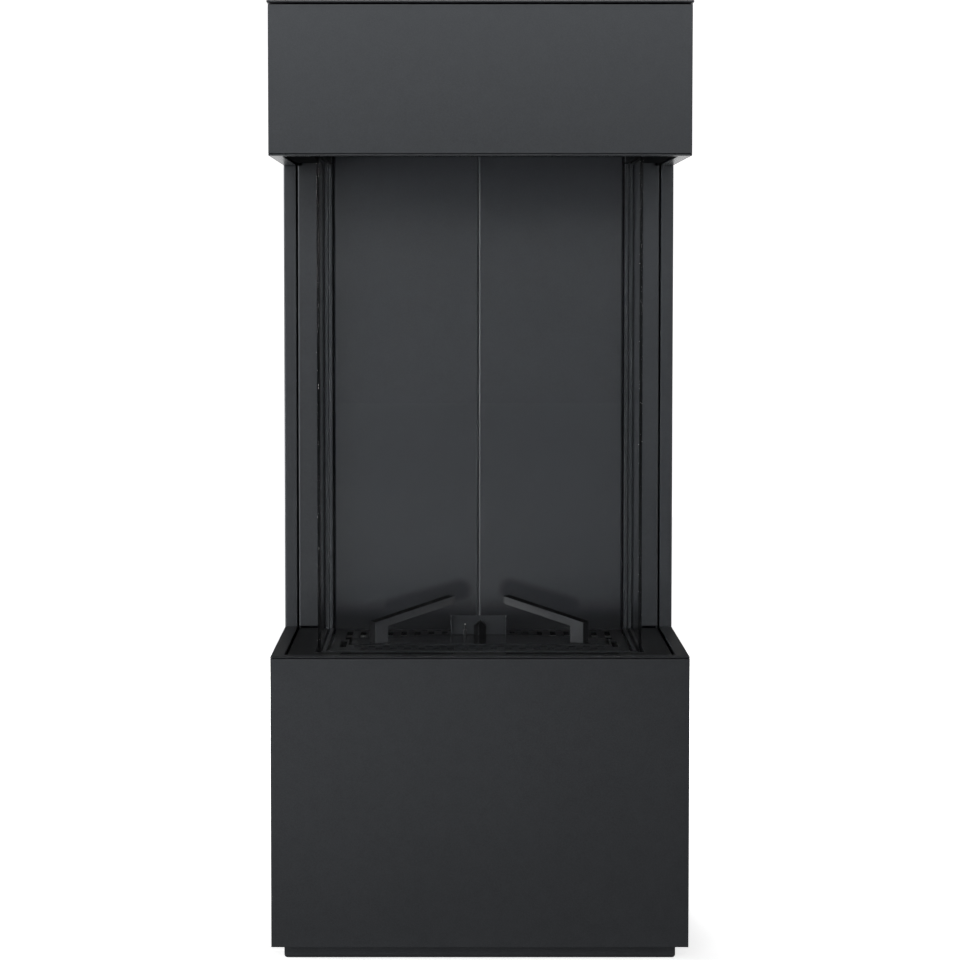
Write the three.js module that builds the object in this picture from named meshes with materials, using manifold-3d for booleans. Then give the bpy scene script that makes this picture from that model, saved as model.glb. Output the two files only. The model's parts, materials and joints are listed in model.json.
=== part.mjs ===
import * as THREE from 'three';
import { mergeVertices } from 'three/addons/utils/BufferGeometryUtils.js';
import Module from 'manifold-3d';

// Free-standing gas fire, glazed on three sides. Lengths are millimetres, Z is up, the front faces -Y.
// The origin is on the floor, under the middle of the casing.

const wasm = await Module();
wasm.setup();

// Casing: a base box on a plinth, a full-width rear column and a hood box under a thin cap.
const casingWidth = 680;
const casingDepth = 540;
const overallHeight = 1556;
const recessDepth = 380;
const baseTop = 500;
const hoodHeight = 248;
const casingSheet = 2;
const rimThickness = 3;
const hoodRimThickness = 2.5;
const rimSeam = 1;
const flangeWidth = 21.4;
const plinthHeight = 23;
const plinthInset = 20;
const plinthRounding = 6.5;
const plinthWall = 3;
const capThickness = 4;
const capGap = 2.5;
const capOverhang = 2;
const capSpacerInset = 26;
const capSpacerWidth = 10;

// Rings of the recess, from the casing's faces inwards: flange, gap, trim, pane channel, lip, gap, deck.
const trimGap = 3.2;
const trimWidth = 44.6;
const channelWidth = 11.5;
const lipWidth = 5.8;
const deckGap = 3.6;
const trimDrop = 2;
const trimReturn = 14;
const trimBend = 3;
const mitreGap = 0.8;
const trimSlotInner = 43;
const trimSlotEndMargin = 42.8;
const trimSlotFront = 43;
const trimSlotRear = 60;
const upperTrimRearGap = 56;
const chamberSheet = 2;
const trimNotchWidth = 9;

// Panes of ceramic glass.
const paneThickness = 5;
const paneInset = 75.6;
const paneEngagement = 10;
const paneLift = 14;
const paneTopClearance = 2;
const paneCornerGap = 0.5;
const postDepth = 20;
const postWall = 5.2;
const postGrooveClearance = 0.95;
const paneRearClearance = 4;

// Rear liners of the chamber.
const linerSet = 12;
const linerGap = 2.6;
const linerBend = 4;

// Door of the base, hung on two lift-off pins in its left front corner.
const doorDepth = 12;
const doorSeam = 3;
const doorPivotInset = 6;
const hingeLeafThickness = 3;
const hingeLeafReach = 10;
const hingeLeafWidth = 7;
const hingeNeckHalf = 3;
const hingeFlangeHeight = 24;
const hingePinRadius = 2;
const hingePinHeight = 9;
const hingeEndDistance = 20;
const hingeLugLength = 8;
const baseReturnWidth = 24;
const catchWidth = 16;
const catchHeight = 40;

// Two-deck floor of the chamber with its slots.
const deckDrop = 4;
const deckSeamDepth = 246;
const deckSeam = 0.6;
const slotWidth = 10;
const shortSlotLength = 12;
const frontSlotPitch = 24;
const frontSlotDepths = [143, 163];
const frontSlotSideMargin = 37.9;
const sideSlotMargin = 20.9;
const sideSlotFrontDepth = 162;
const sideSlotRearDepth = 232;
const rearSlotPitch = 23.55;
const cornerSlotFrontDepth = 259;
const rearSlotMargin = 12;
const rearSlotRearDepth = 360;
const backSlotDepth = 373;
const backSlotLength = 8;
const deckRearGap = 2;

// Burner: plan sizes are half widths, and distances behind the casing's front.
const burnerSideMargin = 33.9;
const burnerFront = 190;
const burnerEndRear = 261;
const burnerCentreRear = 322;
const burnerCentreHalf = 48;
const burnerPlate = 3;
const burnerRise = 1;
const burnerSeam = 1.5;
const burnerEndGap = 5;
const portWidth = 1.6;
const frontPortDepth = 231;
const frontPortEndMargin = 66;
const frontBridgeX = -45;
const frontBridge = 6;
const rearPortDepth = 302;
const rearPortHalf = 44;
const trayInset = 12;
const trayRearInset = 37;
const trayDepth = 44;
const trayWall = 1.5;
const throatRadius = 12;

// Log supports.
const logBarSideMargin = 40;
const logBarGapHalf = 41;
const logBarDepth = 199;
const logBarTurn = THREE.MathUtils.degToRad(25);
const logBarWidth = 24;
const logBarThickness = 13;
const logBarRise = 38;
const logPostHeight = 35;
const logPostLength = 24;
const logEndPlate = 2;
const logEndGroove = 1.2;
const logGrooveDepth = 1;

// Pilot assembly.
const shieldHalf = 48;
const shieldHeight = 32.4;
const shieldDepth = 319;
const shieldSheet = 1.5;
const shieldFlange = 16;
const shieldNotch = 7;
const shieldNotchTop = 1;
const shieldTab = 8;
const shieldTabProud = 1;
const pilotX = 2.3;
const pilotDepth = 307;
const pilotHoodWidth = 20.7;
const pilotHoodEaves = 17.6;
const pilotHoodApex = 26;
const pilotHoodLength = 16;
const pilotEdgeX = -1.6;
const pilotBend = 2;
const electrodeX = -23.5;
const electrodeBaseRadius = 3.2;
const electrodeBaseHeight = 9;
const electrodeRadius = 1.3;
const electrodeHeight = 17.6;

// Stand of the chamber, and the pan in it.
const chassisPlate = 3;
const chassisLeg = 30;
const chassisLegSheet = 3;
const chassisOpeningInset = 10;
const panFlange = 10;

// Gas controls on their bracket.
const bracketLeft = -170;
const bracketRight = 150;
const bracketFrontDepth = 80;
const bracketRearDepth = 180;
const bracketUprightRight = -10;
const bracketUprightDepth = 158;
const bracketUprightHeight = 160;
const valveX = -95;
const valveWidth = 90;
const valveDepth = 53;
const valveHeight = 60;
const valveBottom = 105;
const valveAxisOffset = 20;
const spindleRadius = 4;
const spindleLength = 15;
const knobRadius = 16;
const knobLength = 22;
const knobRidge = 3;
const buttonRadius = 9;
const buttonLength = 8;
const buttonProud = 6;
const buttonStem = 16;
const buttonTravel = 5;
const bossHeight = 7;
const burnerPipeRadius = 5;
const pilotPipeRadius = 2.5;
const feedPipeRadius = 6;
const pipeWallAllowance = 4;
const pipeBend = 45;
const cockX = 130;
const cockZ = 70;
const cockHalf = 13;
const cockLength = 60;
const cockDepth = 120;
const cockBore = 7;
const cockStemRadius = 3;
const cockCollarRadius = 7;
const cockCollarHeight = 7;
const leverLength = 45;
const leverWidth = 10;
const leverThickness = 4;
const leverHubRadius = 8;
const injectorX = 0;
const injectorDepth = 250;
const injectorRadius = 9;
const injectorLength = 14;
const injectorNozzle = 4;

// Balanced flue: two concentric collars, and the relief flap in front of them.
const flueDepth = 300;
const flueOuterRadius = 75;
const flueInnerRadius = 50;
const flueWall = 1.5;
const flueFlange = 9;
const flueTopGap = 12;
const flueHoleClearance = 5;
const airHoleRadius = 8;
const airHoles = 8;
const flapWidth = 170;
const flapLength = 96;
const flapHoleMargin = 10;
const flapDepth = 176;
const flapRodRadius = 3;
const flapEar = 6;
const flapEarHeight = 8;

// Air louvres in the rear sheets, and the gas entry in the base's rear sheet.
const louvreLength = 80;
const louvreHeight = 6;
const louvrePitch = 18;
const louvreColumnPitch = 110;
const louvreEdge = 46;
const louvreColumns = 5;
const baseLouvreRows = 6;
const hoodLouvreRows = 5;
const gasEntryRadius = 30;

// Clearances, and the smoothness of round shapes.
const seatGap = 0.3;
const runGap = 0.3;
const overrun = 1;
const roundSides = 24;
const tubeSides = 32;
const bendSteps = 3;
const pipeSides = 10;
const pipeSteps = 36;

// Levels and planes that follow from the sizes above.
const halfWidth = casingWidth / 2;
const hoodBottom = overallHeight - hoodHeight;
const halfDepth = casingDepth / 2;
const sideAt = (inset) => halfWidth - inset;
const frontAt = (inset) => inset - halfDepth;
const trimInset = flangeWidth + trimGap;
const channelInset = trimInset + trimWidth;
const lipInset = channelInset + channelWidth;
const deckInset = lipInset + lipWidth + deckGap;
const columnY = frontAt(recessDepth);
const chamberBackY = columnY + postDepth;
const backSheetY = halfDepth - casingSheet;
const floorTop = plinthHeight + casingSheet;
const rimBottom = baseTop - rimThickness;
const trimTop = baseTop - trimDrop;
const chassisTop = trimTop - trimReturn;
const chassisUnder = chassisTop - chassisPlate;
const channelFloor = chassisTop + chamberSheet;
const deckTop = trimTop - deckDrop;
const deckHalf = sideAt(deckInset);
const rearSlotPairs = Math.floor((deckHalf - rearSlotMargin) / rearSlotPitch);
const burnerHalf = deckHalf - burnerSideMargin;
const logBarX = burnerHalf - logBarSideMargin;
const logBarLength = (logBarX - logBarGapHalf) / Math.cos(logBarTurn);
const burnerTop = deckTop + burnerRise;
const burnerUnder = burnerTop - burnerPlate;
const panFloorTop = burnerUnder - trayDepth;
const upperTrimBottom = hoodBottom + trimDrop;
const upperChannelHeight = paneEngagement + paneLift + paneTopClearance + chamberSheet;
const roofLevel = upperTrimBottom + upperChannelHeight;
const roofTop = roofLevel + chamberSheet;
const hoodTop = overallHeight - capThickness - capGap;
const hoodPanelBottom = hoodBottom + hoodRimThickness;
const paneBottom = channelFloor + seatGap;
const paneTop = upperTrimBottom + paneEngagement;
const flueY = frontAt(flueDepth);
const flueTop = hoodTop - flueTopGap;
const pivotX = doorPivotInset - halfWidth;
const pivotY = frontAt(doorPivotInset);
const bracketUprightY = frontAt(bracketUprightDepth);
const valveFrontY = bracketUprightY - valveDepth;
const valveMidZ = valveBottom + valveHeight / 2;
const valveTop = valveBottom + valveHeight;
const valvePortY = bracketUprightY - valveDepth / 2;
const knobX = valveX - valveAxisOffset;
const buttonX = valveX + valveAxisOffset;
const pilotY = frontAt(pilotDepth);
const injectorY = frontAt(injectorDepth);

// Finishes.
function finish(color, roughness, metalness) {
  return new THREE.MeshStandardMaterial({ color, roughness, metalness });
}

const casingPaint = finish(0x4a4d50, 0.6, 0.1);
const chamberPaint = finish(0x3d4043, 0.55, 0.1);
const channelBlack = finish(0x16171a, 0.7, 0.1);
const burnerGloss = finish(0x101113, 0.25, 0.3);
const castBlack = finish(0x2a2b2d, 0.6, 0.3);
const zincSteel = finish(0x9da1a4, 0.4, 0.9);
const brass = finish(0xb08d4a, 0.35, 0.9);
const copper = finish(0xb4694a, 0.35, 0.9);
const knobBlack = finish(0x1a1a1b, 0.5, 0);
const ceramic = finish(0xe8e4da, 0.4, 0);
const leverYellow = finish(0xc9a227, 0.5, 0);
const glass = finish(0xdfe8ea, 0.05, 0);
glass.transparent = true;
glass.opacity = 0.2;

// A box between two values on each axis.
function box(x, y, z) {
  const geometry = new THREE.BoxGeometry(x[1] - x[0], y[1] - y[0], z[1] - z[0]);
  return geometry.translate((x[0] + x[1]) / 2, (y[0] + y[1]) / 2, (z[0] + z[1]) / 2);
}

function outline(points) {
  return new THREE.Shape(points.map(([a, b]) => new THREE.Vector2(a, b)));
}

function rectangle(a, b) {
  return outline([[a[0], b[0]], [a[1], b[0]], [a[1], b[1]], [a[0], b[1]]]);
}

const options = (depth) => ({ depth, bevelEnabled: false, curveSegments: bendSteps });

// An outline in X and Y, carried along Z.
function alongZ(shape, z) {
  return new THREE.ExtrudeGeometry(shape, options(z[1] - z[0])).translate(0, 0, z[0]);
}

// An outline in X and Z, carried along Y.
function alongY(shape, y) {
  const geometry = new THREE.ExtrudeGeometry(shape, options(y[1] - y[0]));
  return geometry.rotateX(Math.PI / 2).translate(0, y[1], 0);
}

// An outline in Y and Z, carried along X.
function alongX(shape, x) {
  const geometry = new THREE.ExtrudeGeometry(shape, options(x[1] - x[0]));
  const turn = new THREE.Matrix4().makeBasis(
    new THREE.Vector3(0, 1, 0), new THREE.Vector3(0, 0, 1), new THREE.Vector3(1, 0, 0));
  return geometry.applyMatrix4(turn).translate(x[0], 0, 0);
}

// A round bar along Z, standing on a point.
function postAt(x, y, z, radius, sides = roundSides) {
  const geometry = new THREE.CylinderGeometry(radius, radius, z[1] - z[0], sides).rotateX(Math.PI / 2);
  return geometry.translate(x, y, (z[0] + z[1]) / 2);
}

// A round bar along Y.
function barAlongY(x, y, z, radius, sides = roundSides) {
  const geometry = new THREE.CylinderGeometry(radius, radius, y[1] - y[0], sides);
  return geometry.translate(x, (y[0] + y[1]) / 2, z);
}

// A round bar along X.
function barAlongX(x, y, z, radius, sides = roundSides) {
  const geometry = new THREE.CylinderGeometry(radius, radius, x[1] - x[0], sides).rotateZ(Math.PI / 2);
  return geometry.translate((x[0] + x[1]) / 2, y, z);
}

// The outline of a folded sheet. The points are its face, and its thickness lies to their left.
function folded(points, thickness, bend) {
  const path = points.map(([a, b]) => new THREE.Vector2(a, b));
  const heading = path.slice(1).map((point, i) => point.clone().sub(path[i]).normalize());
  const left = heading.map((way) => new THREE.Vector2(-way.y, way.x));
  const face = [path[0]];
  const back = [path[0].clone().addScaledVector(left[0], thickness)];
  for (let i = 1; i < path.length - 1; i += 1) {
    const turn = heading[i - 1].cross(heading[i]);
    const side = Math.sign(turn);
    const angle = Math.asin(Math.abs(turn));
    const faceRadius = side > 0 ? bend : bend - thickness;
    const backRadius = side > 0 ? bend - thickness : bend;
    const middle = left[i - 1].clone().add(left[i]).normalize();
    const centre = path[i].clone().addScaledVector(middle, side * faceRadius / Math.cos(angle / 2));
    for (let step = 0; step <= bendSteps; step += 1) {
      const ray = left[i - 1].clone().rotateAround(new THREE.Vector2(), side * angle * step / bendSteps);
      face.push(centre.clone().addScaledVector(ray, -side * faceRadius));
      back.push(centre.clone().addScaledVector(ray, -side * backRadius));
    }
  }
  face.push(path.at(-1));
  back.push(path.at(-1).clone().addScaledVector(left.at(-1), thickness));
  return new THREE.Shape([...face, ...back.reverse()]);
}

function toSolid(geometry) {
  const bare = geometry.clone();
  bare.deleteAttribute('normal');
  bare.deleteAttribute('uv');
  const merged = mergeVertices(bare.index ? bare : mergeVertices(bare));
  return new wasm.Manifold(new wasm.Mesh({
    numProp: 3,
    vertProperties: new Float32Array(merged.attributes.position.array),
    triVerts: new Uint32Array(merged.index.array),
  }));
}

function toGeometry(solid) {
  const mesh = solid.getMesh();
  const geometry = new THREE.BufferGeometry();
  geometry.setAttribute('position', new THREE.BufferAttribute(mesh.vertProperties, 3));
  geometry.setIndex(new THREE.BufferAttribute(mesh.triVerts, 1));
  geometry.computeVertexNormals();
  return geometry;
}

function joined(...geometries) {
  return toGeometry(geometries.map(toSolid).reduce((whole, next) => whole.add(next)));
}

function cut(geometry, ...tools) {
  return toGeometry(tools.map(toSolid).reduce((whole, tool) => whole.subtract(tool), toSolid(geometry)));
}

function common(first, second) {
  return toGeometry(toSolid(first).intersect(toSolid(second)));
}

function part(name, geometry, material) {
  const mesh = new THREE.Mesh(geometry, material);
  mesh.name = name;
  return mesh;
}

// The same outline on the other side of the object.
const mirrored = (points) => points.map(([a, b]) => [-a, b]).reverse();
const span = (side, near, far) => (side < 0 ? [-far, -near] : [near, far]);
const sides = [['left', -1], ['right', 1]];

// Casing

function plinth() {
  const roundedFoot = (half) => {
    const shape = new THREE.Shape();
    const tangent = half - plinthRounding;
    shape.moveTo(-half, plinthHeight);
    shape.lineTo(-half, plinthRounding);
    shape.absarc(-tangent, plinthRounding, plinthRounding, Math.PI, Math.PI * 1.5);
    shape.lineTo(tangent, 0);
    shape.absarc(tangent, plinthRounding, plinthRounding, -Math.PI / 2, 0);
    shape.lineTo(half, plinthHeight);
    return shape;
  };
  const halfX = sideAt(plinthInset);
  const halfY = halfDepth - plinthInset;
  const outside = common(
    alongY(roundedFoot(halfX), [-halfY, halfY]),
    alongX(roundedFoot(halfY), [-halfX, halfX]));
  const insideX = halfX - plinthWall;
  const insideY = halfY - plinthWall;
  const inside = box([-insideX, insideX], [-insideY, insideY], [plinthWall, plinthHeight + overrun]);
  return part('plinth', cut(outside, inside), casingPaint);
}

function baseFloor() {
  const shape = rectangle([-halfWidth, halfWidth], [frontAt(doorDepth + doorSeam), halfDepth]);
  return part('base_floor', alongZ(shape, [plinthHeight, floorTop]), casingPaint);
}

function baseSide(name, side) {
  const front = frontAt(doorDepth + doorSeam);
  const points = [
    [halfWidth - baseReturnWidth, front],
    [halfWidth, front],
    [halfWidth, backSheetY],
  ];
  const shape = side > 0
    ? folded(points, casingSheet, trimBend)
    : folded(mirrored(points), casingSheet, trimBend);
  return part(`base_side_${name}`, alongZ(shape, [floorTop, rimBottom]), casingPaint);
}

// Bars that cut rows of louvre slots through a rear sheet.
function louvreTools(columns, rows, topZ) {
  const y = [backSheetY - overrun, halfDepth + overrun];
  const tools = [];
  for (let column = 0; column < columns; column += 1) {
    const x = (column - (columns - 1) / 2) * louvreColumnPitch;
    for (let row = 0; row < rows; row += 1) {
      const z = topZ - row * louvrePitch;
      tools.push(box([x - louvreLength / 2, x + louvreLength / 2], y, [z - louvreHeight, z]));
    }
  }
  return tools;
}

function rearSheet(name, z, tools) {
  const sheet = box([-halfWidth, halfWidth], [backSheetY, halfDepth], z);
  return part(name, tools.length > 0 ? cut(sheet, ...tools) : sheet, casingPaint);
}

function baseBack() {
  const gasEntry = barAlongY(cockX, [backSheetY - overrun, halfDepth + overrun], cockZ + gasEntryRadius / 2,
    gasEntryRadius);
  const louvres = louvreTools(louvreColumns, baseLouvreRows, rimBottom - louvreEdge);
  return rearSheet('base_back', [floorTop, rimBottom], [...louvres, gasEntry]);
}

// A flat ring that closes the top of the base, or the underside of the hood.
function rimRing(name, z) {
  const shape = rectangle([-halfWidth, halfWidth], [-halfDepth, halfDepth]);
  const inner = sideAt(flangeWidth);
  shape.holes.push(rectangle([-inner, inner], [frontAt(flangeWidth), halfDepth - flangeWidth]));
  return part(name, alongZ(shape, z), casingPaint);
}

const doorTop = rimBottom - rimSeam;
const hingeLeafLevels = [
  floorTop + hingeEndDistance,
  doorTop - hingeEndDistance - hingeFlangeHeight,
];

// The front panel: a sheet with four returns, and two lugs that drop over the hinge pins.
function accessDoor() {
  const x = [-halfWidth, halfWidth];
  const z = [plinthHeight, doorTop];
  const tray = cut(
    box(x, [frontAt(0), frontAt(doorDepth)], z),
    box([x[0] + casingSheet, x[1] - casingSheet], [frontAt(casingSheet), frontAt(doorDepth + overrun)],
      [z[0] + casingSheet, z[1] - casingSheet]));
  const inside = doorPivotInset - casingSheet;
  const lugs = hingeLeafLevels.map((level) => {
    const seat = level + hingeLeafThickness + seatGap;
    return cut(
      box([pivotX - inside - overrun, pivotX + hingeLugLength],
        [pivotY - inside - overrun, pivotY + inside],
        [seat, seat + hingeLeafThickness]),
      postAt(pivotX, pivotY, [seat - overrun, seat + hingeLeafThickness + overrun], hingePinRadius + runGap));
  });
  return part('access_door', joined(tray, ...lugs), casingPaint);
}

// A hinge leaf on the left side sheet's return: a flange, a level leaf and a pin that points up.
function doorHinge(name, level) {
  const returnFace = frontAt(doorDepth + doorSeam);
  const legLeft = pivotX + hingeLeafReach;
  const legRight = legLeft + hingeLeafWidth;
  const leafZ = [level, level + hingeLeafThickness];
  const neck = box([pivotX, legRight], [pivotY - hingeNeckHalf, pivotY + hingeNeckHalf], leafZ);
  const nose = postAt(pivotX, pivotY, leafZ, hingeNeckHalf);
  const leg = box([legLeft, legRight], [pivotY, returnFace], leafZ);
  const flange = box([legLeft, legRight], [returnFace - casingSheet, returnFace],
    [level, level + hingeFlangeHeight]);
  const pin = postAt(pivotX, pivotY, [level, level + hingePinHeight], hingePinRadius);
  return part(name, joined(neck, nose, leg, flange, pin), zincSteel);
}

function doorCatch() {
  const returnFace = frontAt(doorDepth + doorSeam);
  const right = halfWidth - casingSheet - doorSeam;
  const middle = (floorTop + doorTop) / 2;
  const body = box([right - catchWidth, right], [frontAt(casingSheet + seatGap), returnFace],
    [middle - catchHeight / 2, middle + catchHeight / 2]);
  return part('door_catch', body, knobBlack);
}

function columnSide(name, side) {
  const points = [
    [sideAt(flangeWidth), columnY],
    [halfWidth, columnY],
    [halfWidth, backSheetY],
  ];
  const shape = side > 0
    ? folded(points, casingSheet, trimBend)
    : folded(mirrored(points), casingSheet, trimBend);
  return part(`column_side_${name}`, alongZ(shape, [baseTop, hoodBottom]), casingPaint);
}

// An inner panel of the column. Its face stops short of the lower trim, and is notched at the hood.
function columnTrim(name, side) {
  const points = [
    [sideAt(channelInset), chamberBackY],
    [sideAt(channelInset), columnY],
    [sideAt(trimInset), columnY],
    [sideAt(trimInset), chamberBackY],
  ];
  const shape = side > 0
    ? folded(points, chamberSheet, trimBend)
    : folded(mirrored(points), chamberSheet, trimBend);
  const face = [columnY - overrun, columnY + trimBend];
  const footCut = box(span(side, sideAt(channelInset) - overrun, sideAt(trimInset) + overrun), face,
    [chassisTop - overrun, trimTop + trimGap]);
  const cornerCut = box(span(side, sideAt(trimInset) - trimNotchWidth, sideAt(trimInset) + overrun), face,
    [hoodBottom, roofLevel + overrun]);
  const geometry = cut(alongZ(shape, [chassisTop, roofLevel]), footCut, cornerCut);
  return part(`column_trim_${name}`, geometry, casingPaint);
}

function hoodFront() {
  const z = [hoodPanelBottom + rimSeam, hoodTop];
  return part('hood_front', box([-halfWidth, halfWidth], [frontAt(0), frontAt(casingSheet)], z), casingPaint);
}

function hoodSide(name, side) {
  const x = span(side, halfWidth - casingSheet, halfWidth);
  const sheet = box(x, [frontAt(casingSheet), backSheetY], [hoodPanelBottom, hoodTop]);
  return part(`hood_side_${name}`, sheet, casingPaint);
}

function circleHole(x, y, radius, segments) {
  const points = Array.from({ length: segments }, (_, i) => {
    const angle = i * 2 * Math.PI / segments;
    return new THREE.Vector2(x + radius * Math.cos(angle), y + radius * Math.sin(angle));
  });
  return new THREE.Path(points);
}

function hoodTopPlate() {
  const inner = halfWidth - casingSheet;
  const shape = rectangle([-inner, inner], [frontAt(casingSheet), backSheetY]);
  shape.holes.push(circleHole(0, flueY, flueOuterRadius + flueHoleClearance, tubeSides));
  return part('hood_top', alongZ(shape, [hoodTop - casingSheet, hoodTop]), casingPaint);
}

// The cap plate and, under it, the low ring that leaves the shadow gap.
function topCap() {
  const x = halfWidth + capOverhang;
  const y = halfDepth + capOverhang;
  const plate = rectangle([-x, x], [-y, y]);
  plate.holes.push(circleHole(0, flueY, flueOuterRadius + flueHoleClearance, tubeSides));
  const spacerX = sideAt(capSpacerInset);
  const spacerY = halfDepth - capSpacerInset;
  const ring = rectangle([-spacerX, spacerX], [-spacerY, spacerY]);
  ring.holes.push(rectangle([capSpacerWidth - spacerX, spacerX - capSpacerWidth],
    [capSpacerWidth - spacerY, spacerY - capSpacerWidth]));
  const capBottom = overallHeight - capThickness;
  const geometry = joined(
    alongZ(plate, [capBottom, overallHeight]),
    alongZ(ring, [hoodTop, capBottom + capThickness / 2]));
  return part('top_cap', geometry, casingPaint);
}

// Chamber

const ringRear = chamberBackY + chamberSheet;
const openingHalf = sideAt(deckInset + chassisOpeningInset);
const openingFront = frontAt(deckInset + chassisOpeningInset);
const openingRear = columnY;

// The stand: a ring plate on four angle legs.
function chassis() {
  const half = sideAt(trimInset);
  const front = frontAt(trimInset);
  const plate = rectangle([-half, half], [front, ringRear]);
  plate.holes.push(rectangle([-openingHalf, openingHalf], [openingFront, openingRear]));
  const legZ = [floorTop, chassisUnder + chassisPlate / 2];
  const legs = [];
  for (const side of [-1, 1]) {
    for (const [corner, inward] of [[front, 1], [ringRear, -1]]) {
      const x = span(side, half - chassisLeg, half);
      const thinX = span(side, half - chassisLegSheet, half);
      const y = [corner, corner + inward * chassisLeg].sort((a, b) => a - b);
      const thinY = [corner, corner + inward * chassisLegSheet].sort((a, b) => a - b);
      legs.push(box(thinX, y, legZ), box(x, thinY, legZ));
    }
  }
  return part('chassis', joined(alongZ(plate, [chassisUnder, chassisTop]), ...legs), zincSteel);
}

// The sealed pan under the burner, with holes for the injector and the pilot pipe.
function chamberFloor() {
  const wall = openingHalf + chamberSheet;
  const front = openingFront - chamberSheet;
  const rear = openingRear + chamberSheet;
  const bottom = panFloorTop - chamberSheet;
  const body = joined(
    box([-wall, wall], [front, rear], [bottom, chassisUnder]),
    box([-wall - panFlange, wall + panFlange], [front - panFlange, rear + panFlange],
      [chassisUnder - chamberSheet, chassisUnder]));
  const geometry = cut(body,
    box([-openingHalf, openingHalf], [openingFront, openingRear], [panFloorTop, chassisTop]),
    postAt(injectorX, injectorY, [bottom - overrun, panFloorTop + overrun], injectorNozzle + runGap),
    postAt(pilotX, pilotY, [bottom - overrun, panFloorTop + overrun], pilotPipeRadius + runGap));
  return part('chamber_floor', geometry, zincSteel);
}

// A U-shaped run round the front and both sides, between two insets.
function threeSided(insetOut, insetIn, z, rear = columnY) {
  const shape = outline([
    [-sideAt(insetOut), rear],
    [-sideAt(insetOut), frontAt(insetOut)],
    [sideAt(insetOut), frontAt(insetOut)],
    [sideAt(insetOut), rear],
    [sideAt(insetIn), rear],
    [sideAt(insetIn), frontAt(insetIn)],
    [-sideAt(insetIn), frontAt(insetIn)],
    [-sideAt(insetIn), rear],
  ]);
  return alongZ(shape, z);
}

// The trough that the panes stand in: an outer wall under the trim, a floor, an inner wall and a lip.
function lowerChannel() {
  const outer = channelInset - chamberSheet;
  const wallIn = lipInset + chamberSheet;
  const overlap = chamberSheet / 2;
  const geometry = joined(
    threeSided(outer, wallIn, [chassisTop, channelFloor]),
    threeSided(outer, channelInset, [channelFloor - overlap, trimTop - chamberSheet - seatGap]),
    threeSided(lipInset, wallIn, [channelFloor - overlap, trimTop]),
    threeSided(lipInset, lipInset + lipWidth, [trimTop - chamberSheet, trimTop]));
  return part('glass_channel_lower', geometry, channelBlack);
}

// The deep channel above the panes, which leaves room to lift the front one.
function upperChannel() {
  const outer = channelInset - chamberSheet;
  const wallIn = lipInset + chamberSheet;
  const ceiling = roofLevel - chamberSheet;
  const overlap = chamberSheet / 2;
  const geometry = joined(
    threeSided(outer, wallIn, [ceiling, roofLevel]),
    threeSided(outer, channelInset, [upperTrimBottom + chamberSheet, ceiling + overlap]),
    threeSided(lipInset, wallIn, [upperTrimBottom, ceiling + overlap]),
    threeSided(lipInset, lipInset + lipWidth, [upperTrimBottom, upperTrimBottom + chamberSheet]));
  return part('glass_channel_upper', geometry, channelBlack);
}

const grooveHalf = paneThickness / 2 + postGrooveClearance;

// The rear post that grips a side pane's edge: a channel with a heavy inner wall.
function glassPost(name, side) {
  const pane = sideAt(paneInset);
  const inner = pane - grooveHalf - postWall;
  const outer = sideAt(channelInset) - seatGap;
  const floor = chamberBackY - chamberSheet;
  const points = [
    [inner, columnY],
    [pane - grooveHalf, columnY],
    [pane - grooveHalf, floor],
    [pane + grooveHalf, floor],
    [pane + grooveHalf, columnY],
    [outer, columnY],
    [outer, chamberBackY],
    [inner, chamberBackY],
  ];
  const shape = outline(side > 0 ? points : mirrored(points));
  return part(`glass_post_${name}`, alongZ(shape, [chassisTop, roofLevel]), channelBlack);
}

function chamberBack() {
  const half = sideAt(channelInset) - seatGap;
  const sheet = box([-half, half], [chamberBackY, ringRear], [chassisTop, roofLevel]);
  return part('chamber_back', sheet, zincSteel);
}

// A rear liner, bent back at both edges. The two meet at the middle of the chamber.
function backLiner(name, side) {
  const outer = sideAt(paneInset) - grooveHalf - postWall - linerGap;
  const face = columnY + linerSet;
  const points = [
    [runGap / 2, chamberBackY],
    [runGap / 2, face],
    [outer, face],
    [outer, chamberBackY],
  ];
  const shape = side > 0
    ? folded(points, chamberSheet, linerBend)
    : folded(mirrored(points), chamberSheet, linerBend);
  return part(`back_liner_${name}`, alongZ(shape, [chassisTop, roofLevel]), chamberPaint);
}

// The chamber's roof, with the flue hole, the ring of air holes, the flap's hole and the flap's ears.
function chamberRoof() {
  const half = sideAt(trimInset);
  const shape = rectangle([-half, half], [frontAt(trimInset), ringRear]);
  shape.holes.push(circleHole(0, flueY, flueInnerRadius - flueWall, tubeSides));
  const airRing = (flueInnerRadius + flueOuterRadius) / 2;
  for (let i = 0; i < airHoles; i += 1) {
    const angle = i * 2 * Math.PI / airHoles;
    const x = airRing * Math.cos(angle);
    const y = flueY + airRing * Math.sin(angle);
    shape.holes.push(circleHole(x, y, airHoleRadius, roundSides / 2));
  }
  const holeX = flapWidth / 2 - flapHoleMargin;
  const holeFront = frontAt(flapDepth) - flapLength + flapHoleMargin;
  shape.holes.push(rectangle([-holeX, holeX], [holeFront, frontAt(flapDepth) - flapHoleMargin]));
  const plate = alongZ(shape, [roofLevel, roofTop]);
  const rodZ = roofTop + seatGap + flapRodRadius;
  const ears = [-1, 1].map((side) => {
    const x = span(side, flapWidth / 2 + runGap, flapWidth / 2 + runGap + flapEar);
    const block = box(x, [frontAt(flapDepth) - flapEar, frontAt(flapDepth) + flapEar],
      [roofTop - chamberSheet / 2, rodZ + flapEarHeight / 2]);
    const bore = barAlongX([x[0] - overrun, x[1] + overrun], frontAt(flapDepth), rodZ,
      flapRodRadius + runGap);
    return cut(block, bore);
  });
  return part('chamber_roof', joined(plate, ...ears), zincSteel);
}

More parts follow.
